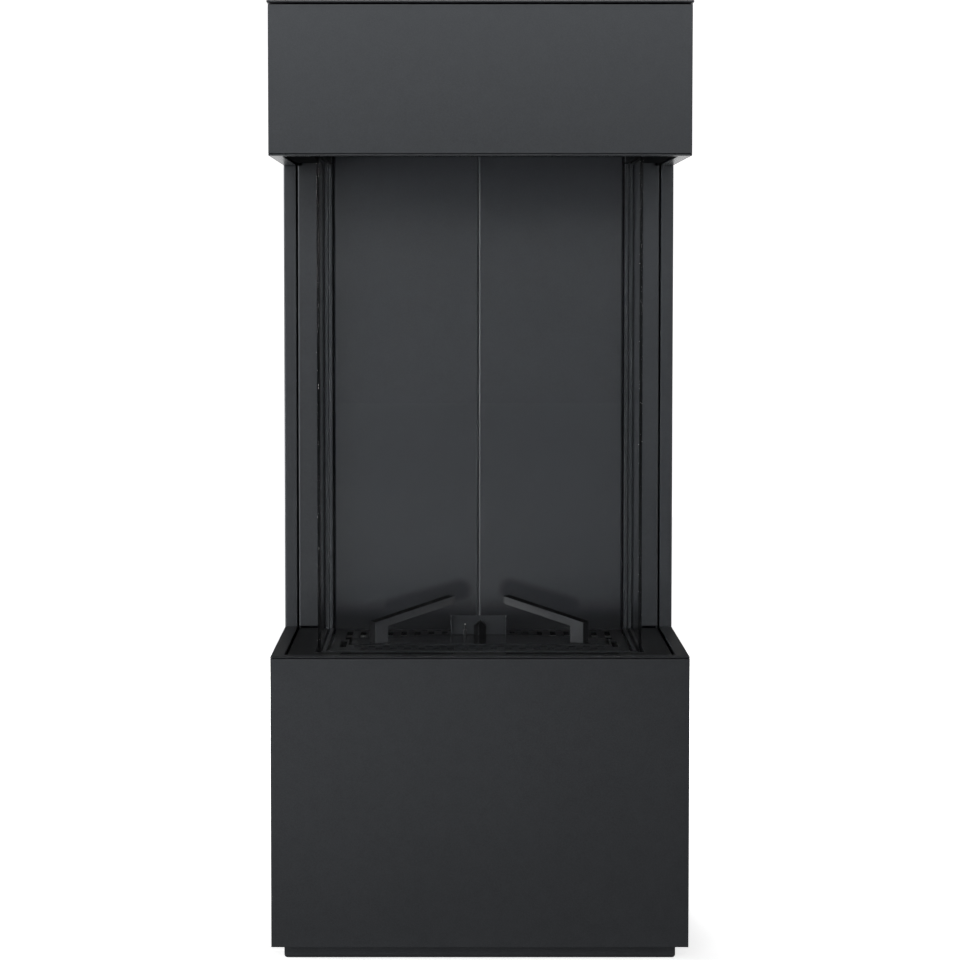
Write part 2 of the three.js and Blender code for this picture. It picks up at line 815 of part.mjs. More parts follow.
// A flap that lies on the roof by its weight, with a rod along its rear edge.
function reliefFlap() {
  const rear = frontAt(flapDepth);
  const rodZ = roofTop + seatGap + flapRodRadius;
  const rodHalf = flapWidth / 2 + runGap + flapEar + overrun;
  const geometry = joined(
    box([-flapWidth / 2, flapWidth / 2], [rear - flapLength, rear],
      [roofTop + seatGap, roofTop + seatGap + chamberSheet]),
    barAlongX([-rodHalf, rodHalf], rear, rodZ, flapRodRadius));
  return part('relief_flap', geometry, zincSteel);
}

function sideTrim(name, side) {
  const half = sideAt(trimInset);
  const inner = sideAt(channelInset);
  const points = [
    [inner, trimTop],
    [half, trimTop],
    [half, chassisTop],
  ];
  const profile = side > 0
    ? folded([...points].reverse(), chamberSheet, trimBend)
    : folded(mirrored([...points].reverse()), chamberSheet, trimBend);
  const front = frontAt(trimInset);
  const strip = alongY(profile, [front, columnY]);
  const reach = trimWidth + overrun;
  const mitre = outline([
    [side * (half + overrun), front - overrun - mitreGap],
    [side * (half + overrun), front - overrun + mitreGap / 2],
    [side * (half - reach), front + reach + mitreGap / 2],
    [side * (half - reach), front - overrun - mitreGap],
  ]);
  const lipClear = box(span(side, half - chamberSheet - overrun, half + overrun),
    [front - overrun, front + trimBend + mitreGap], [chassisTop - overrun, trimTop - chamberSheet]);
  const mitreCut = alongZ(mitre, [chassisTop - overrun, trimTop + overrun]);
  return part(`side_trim_${name}`, cut(strip, mitreCut, lipClear), casingPaint);
}

// The lift-out trim in front of the glass, with two long air slots.
function frontTrim() {
  const half = sideAt(trimInset);
  const front = frontAt(trimInset);
  const rear = frontAt(channelInset);
  const profile = folded([
    [rear, trimTop],
    [front, trimTop],
    [front, chassisTop + seatGap],
  ], chamberSheet, trimBend);
  const strip = alongX(profile, [-half, half]);
  const reach = trimWidth + overrun;
  const mitres = [-1, 1].map((side) => alongZ(outline([
    [side * (half + overrun), front - overrun - mitreGap / 2],
    [side * (half + overrun), front + reach],
    [side * (half - reach), front + reach - mitreGap / 2],
  ]), [chassisTop - overrun, trimTop + overrun]));
  const lipClears = [-1, 1].map((side) => box(span(side, half - trimBend - mitreGap, half + overrun),
    [front - overrun, front + trimBend + mitreGap], [chassisTop - overrun, trimTop - chamberSheet]));
  const slots = [-1, 1].map((side) => box(span(side, trimSlotInner, sideAt(channelInset) - trimSlotEndMargin),
    [frontAt(trimSlotFront), frontAt(trimSlotRear)], [trimTop - chamberSheet - overrun, trimTop + overrun]));
  return part('front_trim', cut(strip, ...mitres, ...lipClears, ...slots), casingPaint);
}

// The plate under the hood, outside the panes. Its legs end in front of the column.
function upperTrim() {
  const rear = columnY - upperTrimRearGap;
  const geometry = joined(
    threeSided(trimInset, channelInset, [upperTrimBottom, upperTrimBottom + chamberSheet], rear),
    threeSided(trimInset, trimInset + chamberSheet, [upperTrimBottom, roofLevel], rear));
  return part('upper_trim', geometry, casingPaint);
}

function frontGlass() {
  const half = sideAt(paneInset);
  const middle = frontAt(paneInset);
  const geometry = box([-half, half], [middle - paneThickness / 2, middle + paneThickness / 2],
    [paneBottom, paneTop]);
  return part('front_glass', geometry, glass);
}

function sideGlass(name, side) {
  const middle = sideAt(paneInset);
  const front = frontAt(paneInset) + paneThickness / 2 + paneCornerGap;
  const x = span(side, middle - paneThickness / 2, middle + paneThickness / 2);
  const rear = chamberBackY - chamberSheet - paneRearClearance;
  return part(`side_glass_${name}`, box(x, [front, rear], [paneBottom, paneTop]), glass);
}

// Burner

const slopeRise = (burnerCentreRear - burnerEndRear) / (burnerHalf - burnerCentreHalf);
const slopeShift = Math.hypot(1, slopeRise);
// Distance behind the casing's front of the burner's sloping rear edge, at a half width, moved out by a gap.
const rearEdgeAt = (x, gap) => burnerEndRear + (burnerHalf - x) * slopeRise + gap * slopeShift;
const halfWidthAt = (depth, gap) => burnerHalf - (depth - gap * slopeShift - burnerEndRear) / slopeRise;

function burnerOutline(inset, rearInset) {
  const half = burnerHalf - inset;
  const rear = burnerCentreRear - rearInset;
  const points = [
    [half, frontAt(burnerFront + inset)],
    [half, frontAt(rearEdgeAt(half, -rearInset))],
    [halfWidthAt(rear, -rearInset), frontAt(rear)],
  ];
  return outline([...mirrored(points), ...points].reverse());
}

// The burner's top, with two long slits for the main flame and a short one that the pilot lights.
function burnerTopPlate() {
  const z = [burnerUnder - overrun, burnerTop + overrun];
  const frontPortHalf = burnerHalf - frontPortEndMargin;
  const slit = (x, depth) => box(x, [frontAt(depth) - portWidth / 2, frontAt(depth) + portWidth / 2], z);
  const plate = alongZ(burnerOutline(0, 0), [burnerUnder, burnerTop]);
  const geometry = cut(plate,
    slit([-frontPortHalf, frontBridgeX - frontBridge / 2], frontPortDepth),
    slit([frontBridgeX + frontBridge / 2, frontPortHalf], frontPortDepth),
    slit([-rearPortHalf, rearPortHalf], rearPortDepth),
    postAt(pilotX, pilotY, z, pilotPipeRadius + runGap, pipeSides));
  return part('burner_plate', geometry, burnerGloss);
}

// The mixing box under the burner plate, open at the top and at its throat.
function burnerTray() {
  const inside = burnerOutline(trayInset + trayWall, trayRearInset + trayWall);
  const geometry = cut(
    alongZ(burnerOutline(trayInset, trayRearInset), [panFloorTop, burnerUnder]),
    alongZ(inside, [panFloorTop + trayWall, burnerTop]),
    postAt(injectorX, injectorY, [panFloorTop - overrun, panFloorTop + trayWall + overrun], throatRadius));
  return part('burner_tray', geometry, zincSteel);
}

function deckPlate(name, shape, returns, slots) {
  const plate = alongZ(shape, [deckTop - chamberSheet, deckTop]);
  const skirts = returns.map(([x, y]) => box(x, y, [chassisTop, deckTop - chamberSheet / 2]));
  return part(name, cut(joined(plate, ...skirts), ...slots), chamberPaint);
}

// A bar that cuts a slot through a deck plate, round a middle in X and between two depths.
function slotTool(x, width, depths) {
  return box([x - width / 2, x + width / 2], depths.map(frontAt),
    [deckTop - chamberSheet - overrun, deckTop + overrun]);
}

function deckFront() {
  const half = deckHalf;
  const cutHalf = burnerHalf + burnerEndGap;
  const front = frontAt(deckInset);
  const cutFront = frontAt(burnerFront - burnerSeam);
  const rear = frontAt(deckSeamDepth - deckSeam / 2);
  const shape = outline([[-half, front], [half, front], [half, rear], [cutHalf, rear],
    [cutHalf, cutFront], [-cutHalf, cutFront], [-cutHalf, rear], [-half, rear]]);
  const sideSlot = deckHalf - sideSlotMargin;
  const sideDepths = [sideSlotFrontDepth, sideSlotRearDepth];
  const slots = [-1, 1].map((side) => slotTool(side * sideSlot, slotWidth, sideDepths));
  frontSlotDepths.forEach((depth, row) => {
    const shift = row / frontSlotDepths.length;
    const reach = deckHalf - frontSlotSideMargin - shortSlotLength / 2;
    const count = Math.floor(reach / frontSlotPitch - shift);
    for (let i = -count - row; i <= count; i += 1) {
      const x = (i + shift) * frontSlotPitch;
      slots.push(slotTool(x, shortSlotLength, [depth - slotWidth / 2, depth + slotWidth / 2]));
    }
  });
  return deckPlate('deck_front', shape, [
    [[-half, half], [front, front + chamberSheet]],
    [[-half, chamberSheet - half], [front, rear]],
    [[half - chamberSheet, half], [front, rear]],
  ], slots);
}

function deckRear() {
  const half = deckHalf;
  const cutHalf = burnerHalf + burnerEndGap;
  const front = frontAt(deckSeamDepth + deckSeam / 2);
  const rear = columnY + linerSet - deckRearGap;
  const centreRear = burnerCentreRear + burnerSeam;
  const points = [
    [half, rear],
    [half, front],
    [cutHalf, front],
    [cutHalf, frontAt(rearEdgeAt(cutHalf, burnerSeam))],
    [halfWidthAt(centreRear, burnerSeam), frontAt(centreRear)],
  ];
  const shape = outline([...points, ...mirrored(points)].reverse());
  const slots = [];
  for (let pair = 0; pair < rearSlotPairs; pair += 1) {
    const x = (pair + 1 / 2) * rearSlotPitch;
    const edge = Math.min(rearEdgeAt(x, burnerSeam), centreRear);
    const start = pair === rearSlotPairs - 1 ? cornerSlotFrontDepth : edge + rearSlotMargin;
    const depths = [start, rearSlotRearDepth];
    slots.push(slotTool(x, slotWidth, depths), slotTool(-x, slotWidth, depths));
  }
  for (let i = 1 - rearSlotPairs; i < rearSlotPairs; i += 1) {
    slots.push(slotTool(i * rearSlotPitch, slotWidth,
      [backSlotDepth - backSlotLength / 2, backSlotDepth + backSlotLength / 2]));
  }
  return deckPlate('deck_rear', shape, [
    [[-half, half], [rear - chamberSheet, rear]],
    [[-half, chamberSheet - half], [front, rear]],
    [[half - chamberSheet, half], [front, rear]],
  ], slots);
}

// A log support: a short post at the front, and an arm that rises from it to the middle of the fire.
// An end plate closes the arm behind a narrow groove.
function logBar(name, side) {
  const topAt = (x) => logPostHeight + x * logBarRise / logBarLength;
  const armEnd = logBarLength - logEndPlate - logEndGroove;
  const profile = outline([
    [0, 0],
    [logPostLength, 0],
    [logPostLength, topAt(logPostLength) - logBarThickness],
    [armEnd, topAt(armEnd) - logBarThickness],
    [armEnd, topAt(armEnd)],
    [0, topAt(0)],
  ]);
  const armPiece = (from, to, inset) => outline([
    [from, topAt(from) - logBarThickness + inset],
    [to, topAt(to) - logBarThickness + inset],
    [to, topAt(to) - inset],
    [from, topAt(from) - inset],
  ]);
  const y = side < 0 ? [0, logBarWidth] : [-logBarWidth, 0];
  const geometry = joined(
    alongY(profile, y),
    alongY(armPiece(logPostLength, logBarLength - logEndPlate / 2, logGrooveDepth),
      [y[0] + logGrooveDepth, y[1] - logGrooveDepth]),
    alongY(armPiece(logBarLength - logEndPlate, logBarLength, 0), y));
  const mesh = part(`log_bar_${name}`, geometry, castBlack);
  mesh.position.set(side * logBarX, frontAt(logBarDepth), burnerTop + seatGap);
  mesh.rotation.z = side < 0 ? logBarTurn : Math.PI - logBarTurn;
  return mesh;
}

// The shield behind the pilot: a plate with two flanges, each with a notch and a small bent tab at its front.
function pilotShield() {
  const z = [burnerTop, burnerTop + shieldHeight];
  const rear = frontAt(shieldDepth) + shieldSheet;
  const plate = box([-shieldHalf, shieldHalf], [rear - shieldSheet, rear], z);
  const flanges = [-1, 1].map((side) => box(span(side, shieldHalf - shieldSheet, shieldHalf),
    [rear - shieldFlange, rear], z));
  const notchTop = z[1] - shieldNotchTop;
  const notchBottom = notchTop - shieldNotch;
  const front = rear - shieldFlange;
  const notches = [-1, 1].map((side) => box(
    span(side, shieldHalf - shieldSheet - overrun, shieldHalf + overrun),
    [front - overrun, front + shieldNotch / 2],
    [notchBottom, notchTop]));
  const tabs = [-1, 1].map((side) => box(
    span(side, shieldHalf - shieldSheet, shieldHalf + shieldTabProud),
    [front - shieldTabProud, front + shieldSheet],
    [notchBottom - shieldTab, notchBottom]));
  return part('pilot_shield', cut(joined(plate, ...flanges, ...tabs), ...notches), castBlack);
}

// The hood over the pilot flame: a plate folded to a V, its edge to the front, under a gabled roof.
function pilotHood() {
  const half = pilotHoodWidth / 2;
  const y = [-pilotHoodLength / 2, pilotHoodLength / 2];
  const drop = shieldSheet * Math.hypot(half, pilotHoodApex - pilotHoodEaves) / half;
  const gable = outline([
    [half, 0],
    [half, pilotHoodEaves],
    [0, pilotHoodApex],
    [-half, pilotHoodEaves],
    [-half, 0],
  ]);
  const roof = outline([
    [half, pilotHoodEaves - drop],
    [half, pilotHoodEaves],
    [0, pilotHoodApex],
    [-half, pilotHoodEaves],
    [-half, pilotHoodEaves - drop],
    [0, pilotHoodApex - drop],
  ]);
  const wedge = folded([[-half, y[1]], [pilotEdgeX, y[0]], [half, y[1]]], shieldSheet, pilotBend);
  const body = common(alongZ(wedge, [0, pilotHoodApex]), alongY(gable, y));
  const mesh = part('pilot_hood', joined(body, alongY(roof, y)), castBlack);
  mesh.position.set(pilotX, pilotY, burnerTop);
  return mesh;
}

function ignitionElectrode() {
  const points = [[0, 0], [electrodeBaseRadius, 0], [electrodeBaseRadius, electrodeBaseHeight],
    [electrodeRadius, electrodeBaseHeight], [electrodeRadius, electrodeHeight], [0, electrodeHeight]];
  const profile = points.map(([r, h]) => new THREE.Vector2(r, h));
  const mesh = part('ignition_electrode', new THREE.LatheGeometry(profile, roundSides / 2), ceramic);
  mesh.rotation.x = Math.PI / 2;
  mesh.position.set(electrodeX, pilotY, burnerTop + seatGap);
  return mesh;
}

// Controls

function controlBracket() {
  const footTop = floorTop + casingSheet;
  const saddleHalf = cockHalf / 2;
  const geometry = joined(
    box([bracketLeft, bracketRight], [bracketFrontDepth, bracketRearDepth].map(frontAt), [floorTop, footTop]),
    box([bracketLeft, bracketUprightRight], [bracketUprightY, bracketUprightY + casingSheet],
      [floorTop, floorTop + bracketUprightHeight]),
    box([cockX - saddleHalf, cockX + saddleHalf],
      [frontAt(cockDepth) - saddleHalf, frontAt(cockDepth) + saddleHalf],
      [floorTop, cockZ - cockHalf]));
  return part('control_bracket', geometry, zincSteel);
}

const feedBossRight = valveX + valveWidth / 2 + bossHeight;

function gasValve() {
  const x = [valveX - valveWidth / 2, valveX + valveWidth / 2];
  const bossZ = [valveTop - overrun, valveTop + bossHeight];
  const body = joined(
    box(x, [valveFrontY, bracketUprightY], [valveBottom, valveTop]),
    barAlongY(knobX, [valveFrontY - spindleLength, valveFrontY + overrun], valveMidZ, spindleRadius),
    postAt(knobX, valvePortY, bossZ, burnerPipeRadius + pipeWallAllowance),
    postAt(buttonX, valvePortY, bossZ, pilotPipeRadius + pipeWallAllowance),
    barAlongX([x[1] - overrun, feedBossRight], valvePortY, valveMidZ, feedPipeRadius + pipeWallAllowance));
  const stemHole = barAlongY(buttonX, [valveFrontY - overrun, valveFrontY + buttonStem + buttonTravel],
    valveMidZ, spindleRadius + runGap);
  return part('gas_valve', cut(body, stemHole), zincSteel);
}

// A turned knob with a blind bore and a grip ridge across its face.
function flameKnob() {
  const bore = spindleRadius + runGap;
  const boreDepth = spindleLength + runGap;
  const points = [[0, boreDepth], [bore, boreDepth], [bore, 0], [knobRadius, 0], [knobRadius, knobLength / 2],
    [knobRadius - knobRidge, knobLength], [0, knobLength]];
  const turned = new THREE.LatheGeometry(points.map(([r, h]) => new THREE.Vector2(r, h)), tubeSides);
  const ridgeHalf = knobRadius - knobRidge;
  const ridge = box([-ridgeHalf, ridgeHalf], [knobLength - overrun, knobLength + knobRidge],
    [-knobRidge / 2, knobRidge / 2]);
  const mesh = part('flame_knob', joined(turned, ridge), knobBlack);
  mesh.rotation.x = Math.PI;
  mesh.position.set(knobX, valveFrontY - seatGap, valveMidZ);
  return mesh;
}

function pilotButton() {
  const capRear = valveFrontY - buttonProud;
  const stem = [capRear - overrun, valveFrontY + buttonStem - buttonTravel];
  const geometry = joined(
    barAlongY(buttonX, [capRear - buttonLength, capRear], valveMidZ, buttonRadius),
    barAlongY(buttonX, stem, valveMidZ, spindleRadius));
  return part('pilot_button', geometry, knobBlack);
}

const cockY = frontAt(cockDepth);

// A straight isolating cock with a six-sided body, its inlet towards the back.
function gasCock() {
  const hexRadius = cockHalf / Math.cos(Math.PI / 6);
  const y = [cockY - cockLength / 2, cockY + cockLength / 2];
  const hex = new THREE.CylinderGeometry(hexRadius, hexRadius, cockLength, 6).rotateY(Math.PI / 6)
    .translate(cockX, cockY, cockZ);
  const collarTop = cockZ + cockHalf + cockCollarHeight;
  const geometry = joined(
    hex,
    postAt(cockX, cockY, [cockZ, collarTop], cockCollarRadius),
    postAt(cockX, cockY, [cockZ, collarTop + seatGap + leverThickness], cockStemRadius));
  const bore = barAlongY(cockX, [cockY + cockLength / 4, y[1] + overrun], cockZ, cockBore);
  return part('gas_cock', cut(geometry, bore), brass);
}

// The cock's lever, in line with the pipe when the gas is on.
function gasCockLever() {
  const z = [0, leverThickness];
  const geometry = cut(
    joined(
      postAt(0, 0, z, leverHubRadius),
      box([-leverWidth / 2, leverWidth / 2], [-leverLength, 0], z)),
    postAt(0, 0, [-overrun, leverThickness + overrun], cockStemRadius + runGap));
  const mesh = part('gas_cock_lever', geometry, leverYellow);
  mesh.position.set(cockX, cockY, cockZ + cockHalf + cockCollarHeight + seatGap);
  return mesh;
}

function pipe(points, radius) {
  const path = new THREE.CatmullRomCurve3(points.map((point) => new THREE.Vector3(...point)));
  const section = new THREE.Shape(circleHole(0, 0, radius, pipeSides).getPoints());
  return new THREE.ExtrudeGeometry(section, { steps: pipeSteps, extrudePath: path });
}

function valveFeedPipe() {
  const startY = cockY - cockLength / 2 - seatGap;
  const endX = feedBossRight + seatGap;
  const geometry = pipe([
    [cockX, startY, cockZ],
    [cockX, startY - pipeBend / 3, cockZ],
    [cockX - pipeBend, startY - pipeBend / 2, cockZ + pipeBend / 3],
    [endX + pipeBend, valvePortY, valveMidZ],
    [endX + pipeBend / 2, valvePortY, valveMidZ],
    [endX, valvePortY, valveMidZ],
  ], feedPipeRadius);
  return part('valve_feed_pipe', geometry, copper);
}

// The pipe from the valve to the injector, which stands in the burner's throat.
function burnerPipe() {
  const startZ = valveTop + bossHeight + seatGap;
  const injectorTop = panFloorTop - chamberSheet - seatGap;
  const endZ = injectorTop - injectorLength;
  const riser = pipe([
    [knobX, valvePortY, startZ],
    [knobX, valvePortY, startZ + pipeBend],
    [knobX, valvePortY, startZ + 2 * pipeBend],
    [injectorX, injectorY, endZ - pipeBend],
    [injectorX, injectorY, endZ - pipeBend / 2],
    [injectorX, injectorY, endZ + overrun],
  ], burnerPipeRadius);
  const geometry = joined(
    riser,
    postAt(injectorX, injectorY, [endZ, injectorTop], injectorRadius, 6),
    postAt(injectorX, injectorY, [endZ, panFloorTop + trayWall + injectorNozzle], injectorNozzle));
  return part('burner_pipe', geometry, copper);
}

function pilotPipe() {
  const startZ = valveTop + bossHeight + seatGap;
  const endZ = burnerTop + seatGap;
  const geometry = pipe([
    [buttonX, valvePortY, startZ],
    [buttonX, valvePortY, startZ + pipeBend],
    [buttonX, valvePortY, startZ + 2 * pipeBend],
    [pilotX, pilotY, panFloorTop - 2 * pipeBend],
    [pilotX, pilotY, panFloorTop - pipeBend],
    [pilotX, pilotY, panFloorTop],
    [pilotX, pilotY, endZ],
  ], pilotPipeRadius);
  return part('pilot_pipe', geometry, copper);
}

// Flue

// A collar: a tube with a flange that stands on the chamber's roof.
function flueCollar(name, radius, material) {
  const height = flueTop - roofTop;
  const inner = radius - flueWall;
  const outer = radius + flueFlange;
  const points = [[inner, 0], [outer, 0], [outer, flueWall], [radius, flueWall], [radius, height],
    [inner, height], [inner, 0]];
  const geometry = new THREE.LatheGeometry(points.map(([r, h]) => new THREE.Vector2(r, h)), tubeSides);
  const mesh = part(name, geometry.rotateX(Math.PI / 2), material);
  mesh.position.set(0, flueY, roofTop);
  return mesh;
}

// Assembly

const casing = new THREE.Group();
casing.add(plinth(), baseFloor(), accessDoor(), doorCatch());
casing.add(baseBack());
casing.add(rimRing('base_rim', [rimBottom, baseTop]));
casing.add(doorHinge('door_hinge_lower', hingeLeafLevels[0]));
casing.add(doorHinge('door_hinge_upper', hingeLeafLevels[1]));
casing.add(rearSheet('column_back', [baseTop, hoodBottom], []));
casing.add(rimRing('hood_rim', [hoodBottom, hoodPanelBottom]));
casing.add(hoodFront(), hoodTopPlate(), topCap());
casing.add(rearSheet('hood_back', [hoodPanelBottom, hoodTop],
  louvreTools(louvreColumns, hoodLouvreRows, hoodTop - louvreEdge)));

const chamber = new THREE.Group();
chamber.add(chassis(), chamberFloor(), lowerChannel(), upperChannel(), chamberBack(), chamberRoof());
chamber.add(reliefFlap(), frontTrim(), upperTrim(), frontGlass());

const burner = new THREE.Group();
burner.add(burnerTray(), burnerTopPlate(), deckFront(), deckRear());
burner.add(pilotShield(), pilotHood(), ignitionElectrode());

for (const [name, side] of sides) {
  casing.add(baseSide(name, side), columnSide(name, side), columnTrim(name, side), hoodSide(name, side));
  chamber.add(glassPost(name, side), backLiner(name, side), sideTrim(name, side), sideGlass(name, side));
  burner.add(logBar(name, side));
}

const controls = new THREE.Group();
controls.add(controlBracket(), gasValve(), flameKnob(), pilotButton());
controls.add(gasCock(), gasCockLever(), valveFeedPipe(), burnerPipe(), pilotPipe());

const flue = new THREE.Group();
flue.add(flueCollar('flue_collar_outer', flueOuterRadius, zincSteel));
flue.add(flueCollar('flue_collar_inner', flueInnerRadius, zincSteel));

const fireplace = new THREE.Group();
fireplace.add(casing, chamber, burner, controls, flue);

export default fireplace;
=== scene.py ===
# %% [markdown]
# # A gas fire behind three panes
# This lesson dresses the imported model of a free-standing gas fire for a studio picture.
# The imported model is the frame: it says where every sheet, pane and pipe is, to a tenth of a millimetre.
# It could be redrawn in Blender, but then nothing would fit any more. So the frame is only read here, and
# Blender adds what a maker adds last: soft folds, paint, screws, glass and light.

# %% Load the frame
import json
import math

import bmesh
import bpy
from mathutils import Matrix, Vector


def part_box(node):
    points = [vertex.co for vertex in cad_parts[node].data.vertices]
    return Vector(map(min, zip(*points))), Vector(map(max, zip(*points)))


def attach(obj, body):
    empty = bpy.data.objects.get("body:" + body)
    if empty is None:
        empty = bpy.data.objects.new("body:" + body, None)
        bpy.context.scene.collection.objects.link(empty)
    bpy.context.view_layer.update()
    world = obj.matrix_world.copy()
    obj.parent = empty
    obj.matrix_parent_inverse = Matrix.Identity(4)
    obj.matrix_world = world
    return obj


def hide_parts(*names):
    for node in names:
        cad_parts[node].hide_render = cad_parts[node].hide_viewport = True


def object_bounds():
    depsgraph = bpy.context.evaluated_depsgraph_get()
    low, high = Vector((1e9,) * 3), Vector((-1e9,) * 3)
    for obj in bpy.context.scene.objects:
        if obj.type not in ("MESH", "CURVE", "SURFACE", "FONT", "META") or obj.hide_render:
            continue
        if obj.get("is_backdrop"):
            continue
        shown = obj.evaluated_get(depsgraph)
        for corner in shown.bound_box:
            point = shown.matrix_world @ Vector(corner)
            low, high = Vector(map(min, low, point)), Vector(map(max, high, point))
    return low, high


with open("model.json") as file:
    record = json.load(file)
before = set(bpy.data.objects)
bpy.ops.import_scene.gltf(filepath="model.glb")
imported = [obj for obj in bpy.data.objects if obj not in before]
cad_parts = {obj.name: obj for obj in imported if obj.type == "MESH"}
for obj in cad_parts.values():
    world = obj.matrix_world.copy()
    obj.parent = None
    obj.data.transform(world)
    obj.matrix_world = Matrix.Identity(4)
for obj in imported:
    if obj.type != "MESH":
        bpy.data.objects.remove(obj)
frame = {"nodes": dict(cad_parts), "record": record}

MM = 0.001
nodes = frame["nodes"]
slot_of = {part["node"]: part["material_slot"] for part in frame["record"]["subparts"]}
body_of = {name: body for body, names in frame["record"]["behaviour"]["bodies"].items() for name in names}
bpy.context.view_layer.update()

# %% [markdown]
# ## The camera
# The photograph is a level shot whose uprights stay parallel, with its horizon high in the picture. A level
# camera needs a lens shift of a fifth of the frame for that, and the same shift would push the fire out of
# every other view. So the camera looks down by three degrees, which leaves a twentieth to the shift. Its
# place, lens and pitch keep the corners within a few pixels of the level shot.

# %% Camera
IMAGE_SIDE = 960
CAMERA_PLACE = (-0.0334, -4.66, 1.1122)
CAMERA_PITCH = math.radians(3.29)
FOCAL_PIXELS = 2726.6
OPTICAL_CENTRE = (459.4, 434.8)
SENSOR = 36
FAR_CLIP = 80

lens = bpy.data.cameras.new("camera")
lens.sensor_width = SENSOR
lens.lens = FOCAL_PIXELS * SENSOR / IMAGE_SIDE
lens.shift_x = 0.5 - OPTICAL_CENTRE[0] / IMAGE_SIDE
lens.shift_y = OPTICAL_CENTRE[1] / IMAGE_SIDE - 0.5
lens.clip_end = FAR_CLIP
camera = bpy.data.objects.new("camera", lens)
camera.location = CAMERA_PLACE
camera.rotation_euler = (math.pi / 2 - CAMERA_PITCH, 0, 0)
bpy.context.scene.collection.objects.link(camera)
bpy.context.scene.camera = camera
bpy.context.scene.view_settings.view_transform = "Standard"
print("lens", round(lens.lens, 1), "mm, shift", round(lens.shift_x, 4), round(lens.shift_y, 4))

# %% [markdown]
# ## Small helpers for nodes
# A material is a small machine of nodes. Writing them out for each finish would hide what the finish is made
# of. These helpers add a node with its settings, do one sum, split a place or a direction into its axes,
# make noise, spread a value over a range and mix two colours, so that each finish below reads as what it is.

# %% Node helpers
def add(tree, kind, **settings):
    node = tree.nodes.new(kind)
    for name, value in settings.items():
        setattr(node, name, value)
    return node


def plug(tree, value, socket):
    if isinstance(value, bpy.types.NodeSocket):
        tree.links.new(value, socket)
    else:
        socket.default_value = value


def sum_of(tree, operation, first, second):
    node = add(tree, "ShaderNodeMath", operation=operation)
    plug(tree, first, node.inputs[0])
    plug(tree, second, node.inputs[1])
    return node.outputs[0]


def place_on(tree):
    return add(tree, "ShaderNodeTexCoord").outputs["Object"]


def axes_of(tree, vector):
    node = add(tree, "ShaderNodeSeparateXYZ")
    tree.links.new(vector, node.inputs[0])
    return node.outputs


def facing_on(tree):
    return axes_of(tree, add(tree, "ShaderNodeTexCoord").outputs["Normal"])


def noise(tree, scale, detail, place=None):
    node = add(tree, "ShaderNodeTexNoise")
    node.inputs["Detail"].default_value = detail
    plug(tree, scale, node.inputs["Scale"])
    tree.links.new(place or place_on(tree), node.inputs["Vector"])
    return node.outputs[0]


def spread(tree, value, low, high, start=0.0, end=1.0):
    node = add(tree, "ShaderNodeMapRange")
    for label, number in {"From Min": start, "From Max": end, "To Min": low, "To Max": high}.items():
        node.inputs[label].default_value = number
    tree.links.new(value, node.inputs["Value"])
    return node.outputs[0]


def mix_colour(tree, share, first, second):
    node = add(tree, "ShaderNodeMix", data_type="RGBA")
    plug(tree, share, node.inputs[0])
    plug(tree, first, node.inputs[6])
    plug(tree, second, node.inputs[7])
    return node.outputs[2]


def bumped(tree, shader, height, distance_mm, strength=0.5):
    bump = add(tree, "ShaderNodeBump")
    bump.inputs["Distance"].default_value = distance_mm * MM
    bump.inputs["Strength"].default_value = strength
    tree.links.new(height, bump.inputs["Height"])
    tree.links.new(bump.outputs[0], shader.inputs["Normal"])


def shade(colour, factor):
    return (*[channel * factor for channel in colour[:3]], 1)


def new_finish(name):
    material = bpy.data.materials.new(name)
    material.use_nodes = True
    return material, material.node_tree, material.node_tree.nodes["Principled BSDF"]


print("node helpers are ready")

# %% [markdown]
# ## Effects that several finishes share
# Powder coat, enamel and plated steel differ in colour, but each is a fine surface with a slow mottle over
# it. Copying the same nodes into every finish would work, and be hard to mend. A node group is made once
# instead, and each finish sets its own values on it. The first gives a grain whose size is set in grains
# per metre.

# %% Shared groups
MOTTLE_SCALE = 6
PATCH_SCALE = 45
DUST_SCALE = 18
HEAT_SCALE = 14
MIDDLE_TONE = 0.5


def start_group(name, inputs, outputs):
    group = bpy.data.node_groups.new(name, "ShaderNodeTree")
    for label, value in inputs.items():
        socket = group.interface.new_socket(label, in_out="INPUT", socket_type="NodeSocketFloat")
        socket.default_value = value
    for label in outputs:
        group.interface.new_socket(label, in_out="OUTPUT", socket_type="NodeSocketFloat")
    return group, add(group, "NodeGroupInput").outputs, add(group, "NodeGroupOutput").inputs


grain, given, result = start_group("grain_and_mottle", {"Grains": 900, "Mottle": 0.3, "Speck": 0.5},
                                   ["Height", "Tone", "Gloss"])
fine = noise(grain, given["Grains"], detail=3)
slow = noise(grain, MOTTLE_SCALE, detail=2)
swing = sum_of(grain, "MULTIPLY", sum_of(grain, "SUBTRACT", slow, MIDDLE_TONE), given["Mottle"])
speck = sum_of(grain, "MULTIPLY", sum_of(grain, "SUBTRACT", fine, MIDDLE_TONE), given["Speck"])
grain.links.new(fine, result["Height"])
grain.links.new(sum_of(grain, "ADD", sum_of(grain, "ADD", swing, speck), MIDDLE_TONE), result["Tone"])
grain.links.new(slow, result["Gloss"])
print("group", grain.name, "has", len(grain.nodes), "nodes")

# %% [markdown]
# The second group finds rubbed edges and lightens them: on most paints this is wear, and on the log
# supports, where it is strong, it is a painted highlight along their edges. The rounding below marks each
# rounded face with an attribute, and noise breaks the mark up, because hands rub some stretches of an edge
# and miss others.
# The third lets a little dust lie on what faces up, and the fourth spreads the bronze tint that steel takes
# near a flame, strongest over the burner.

# %% Edges, dust and heat
NEARLY_LEVEL = 0.8

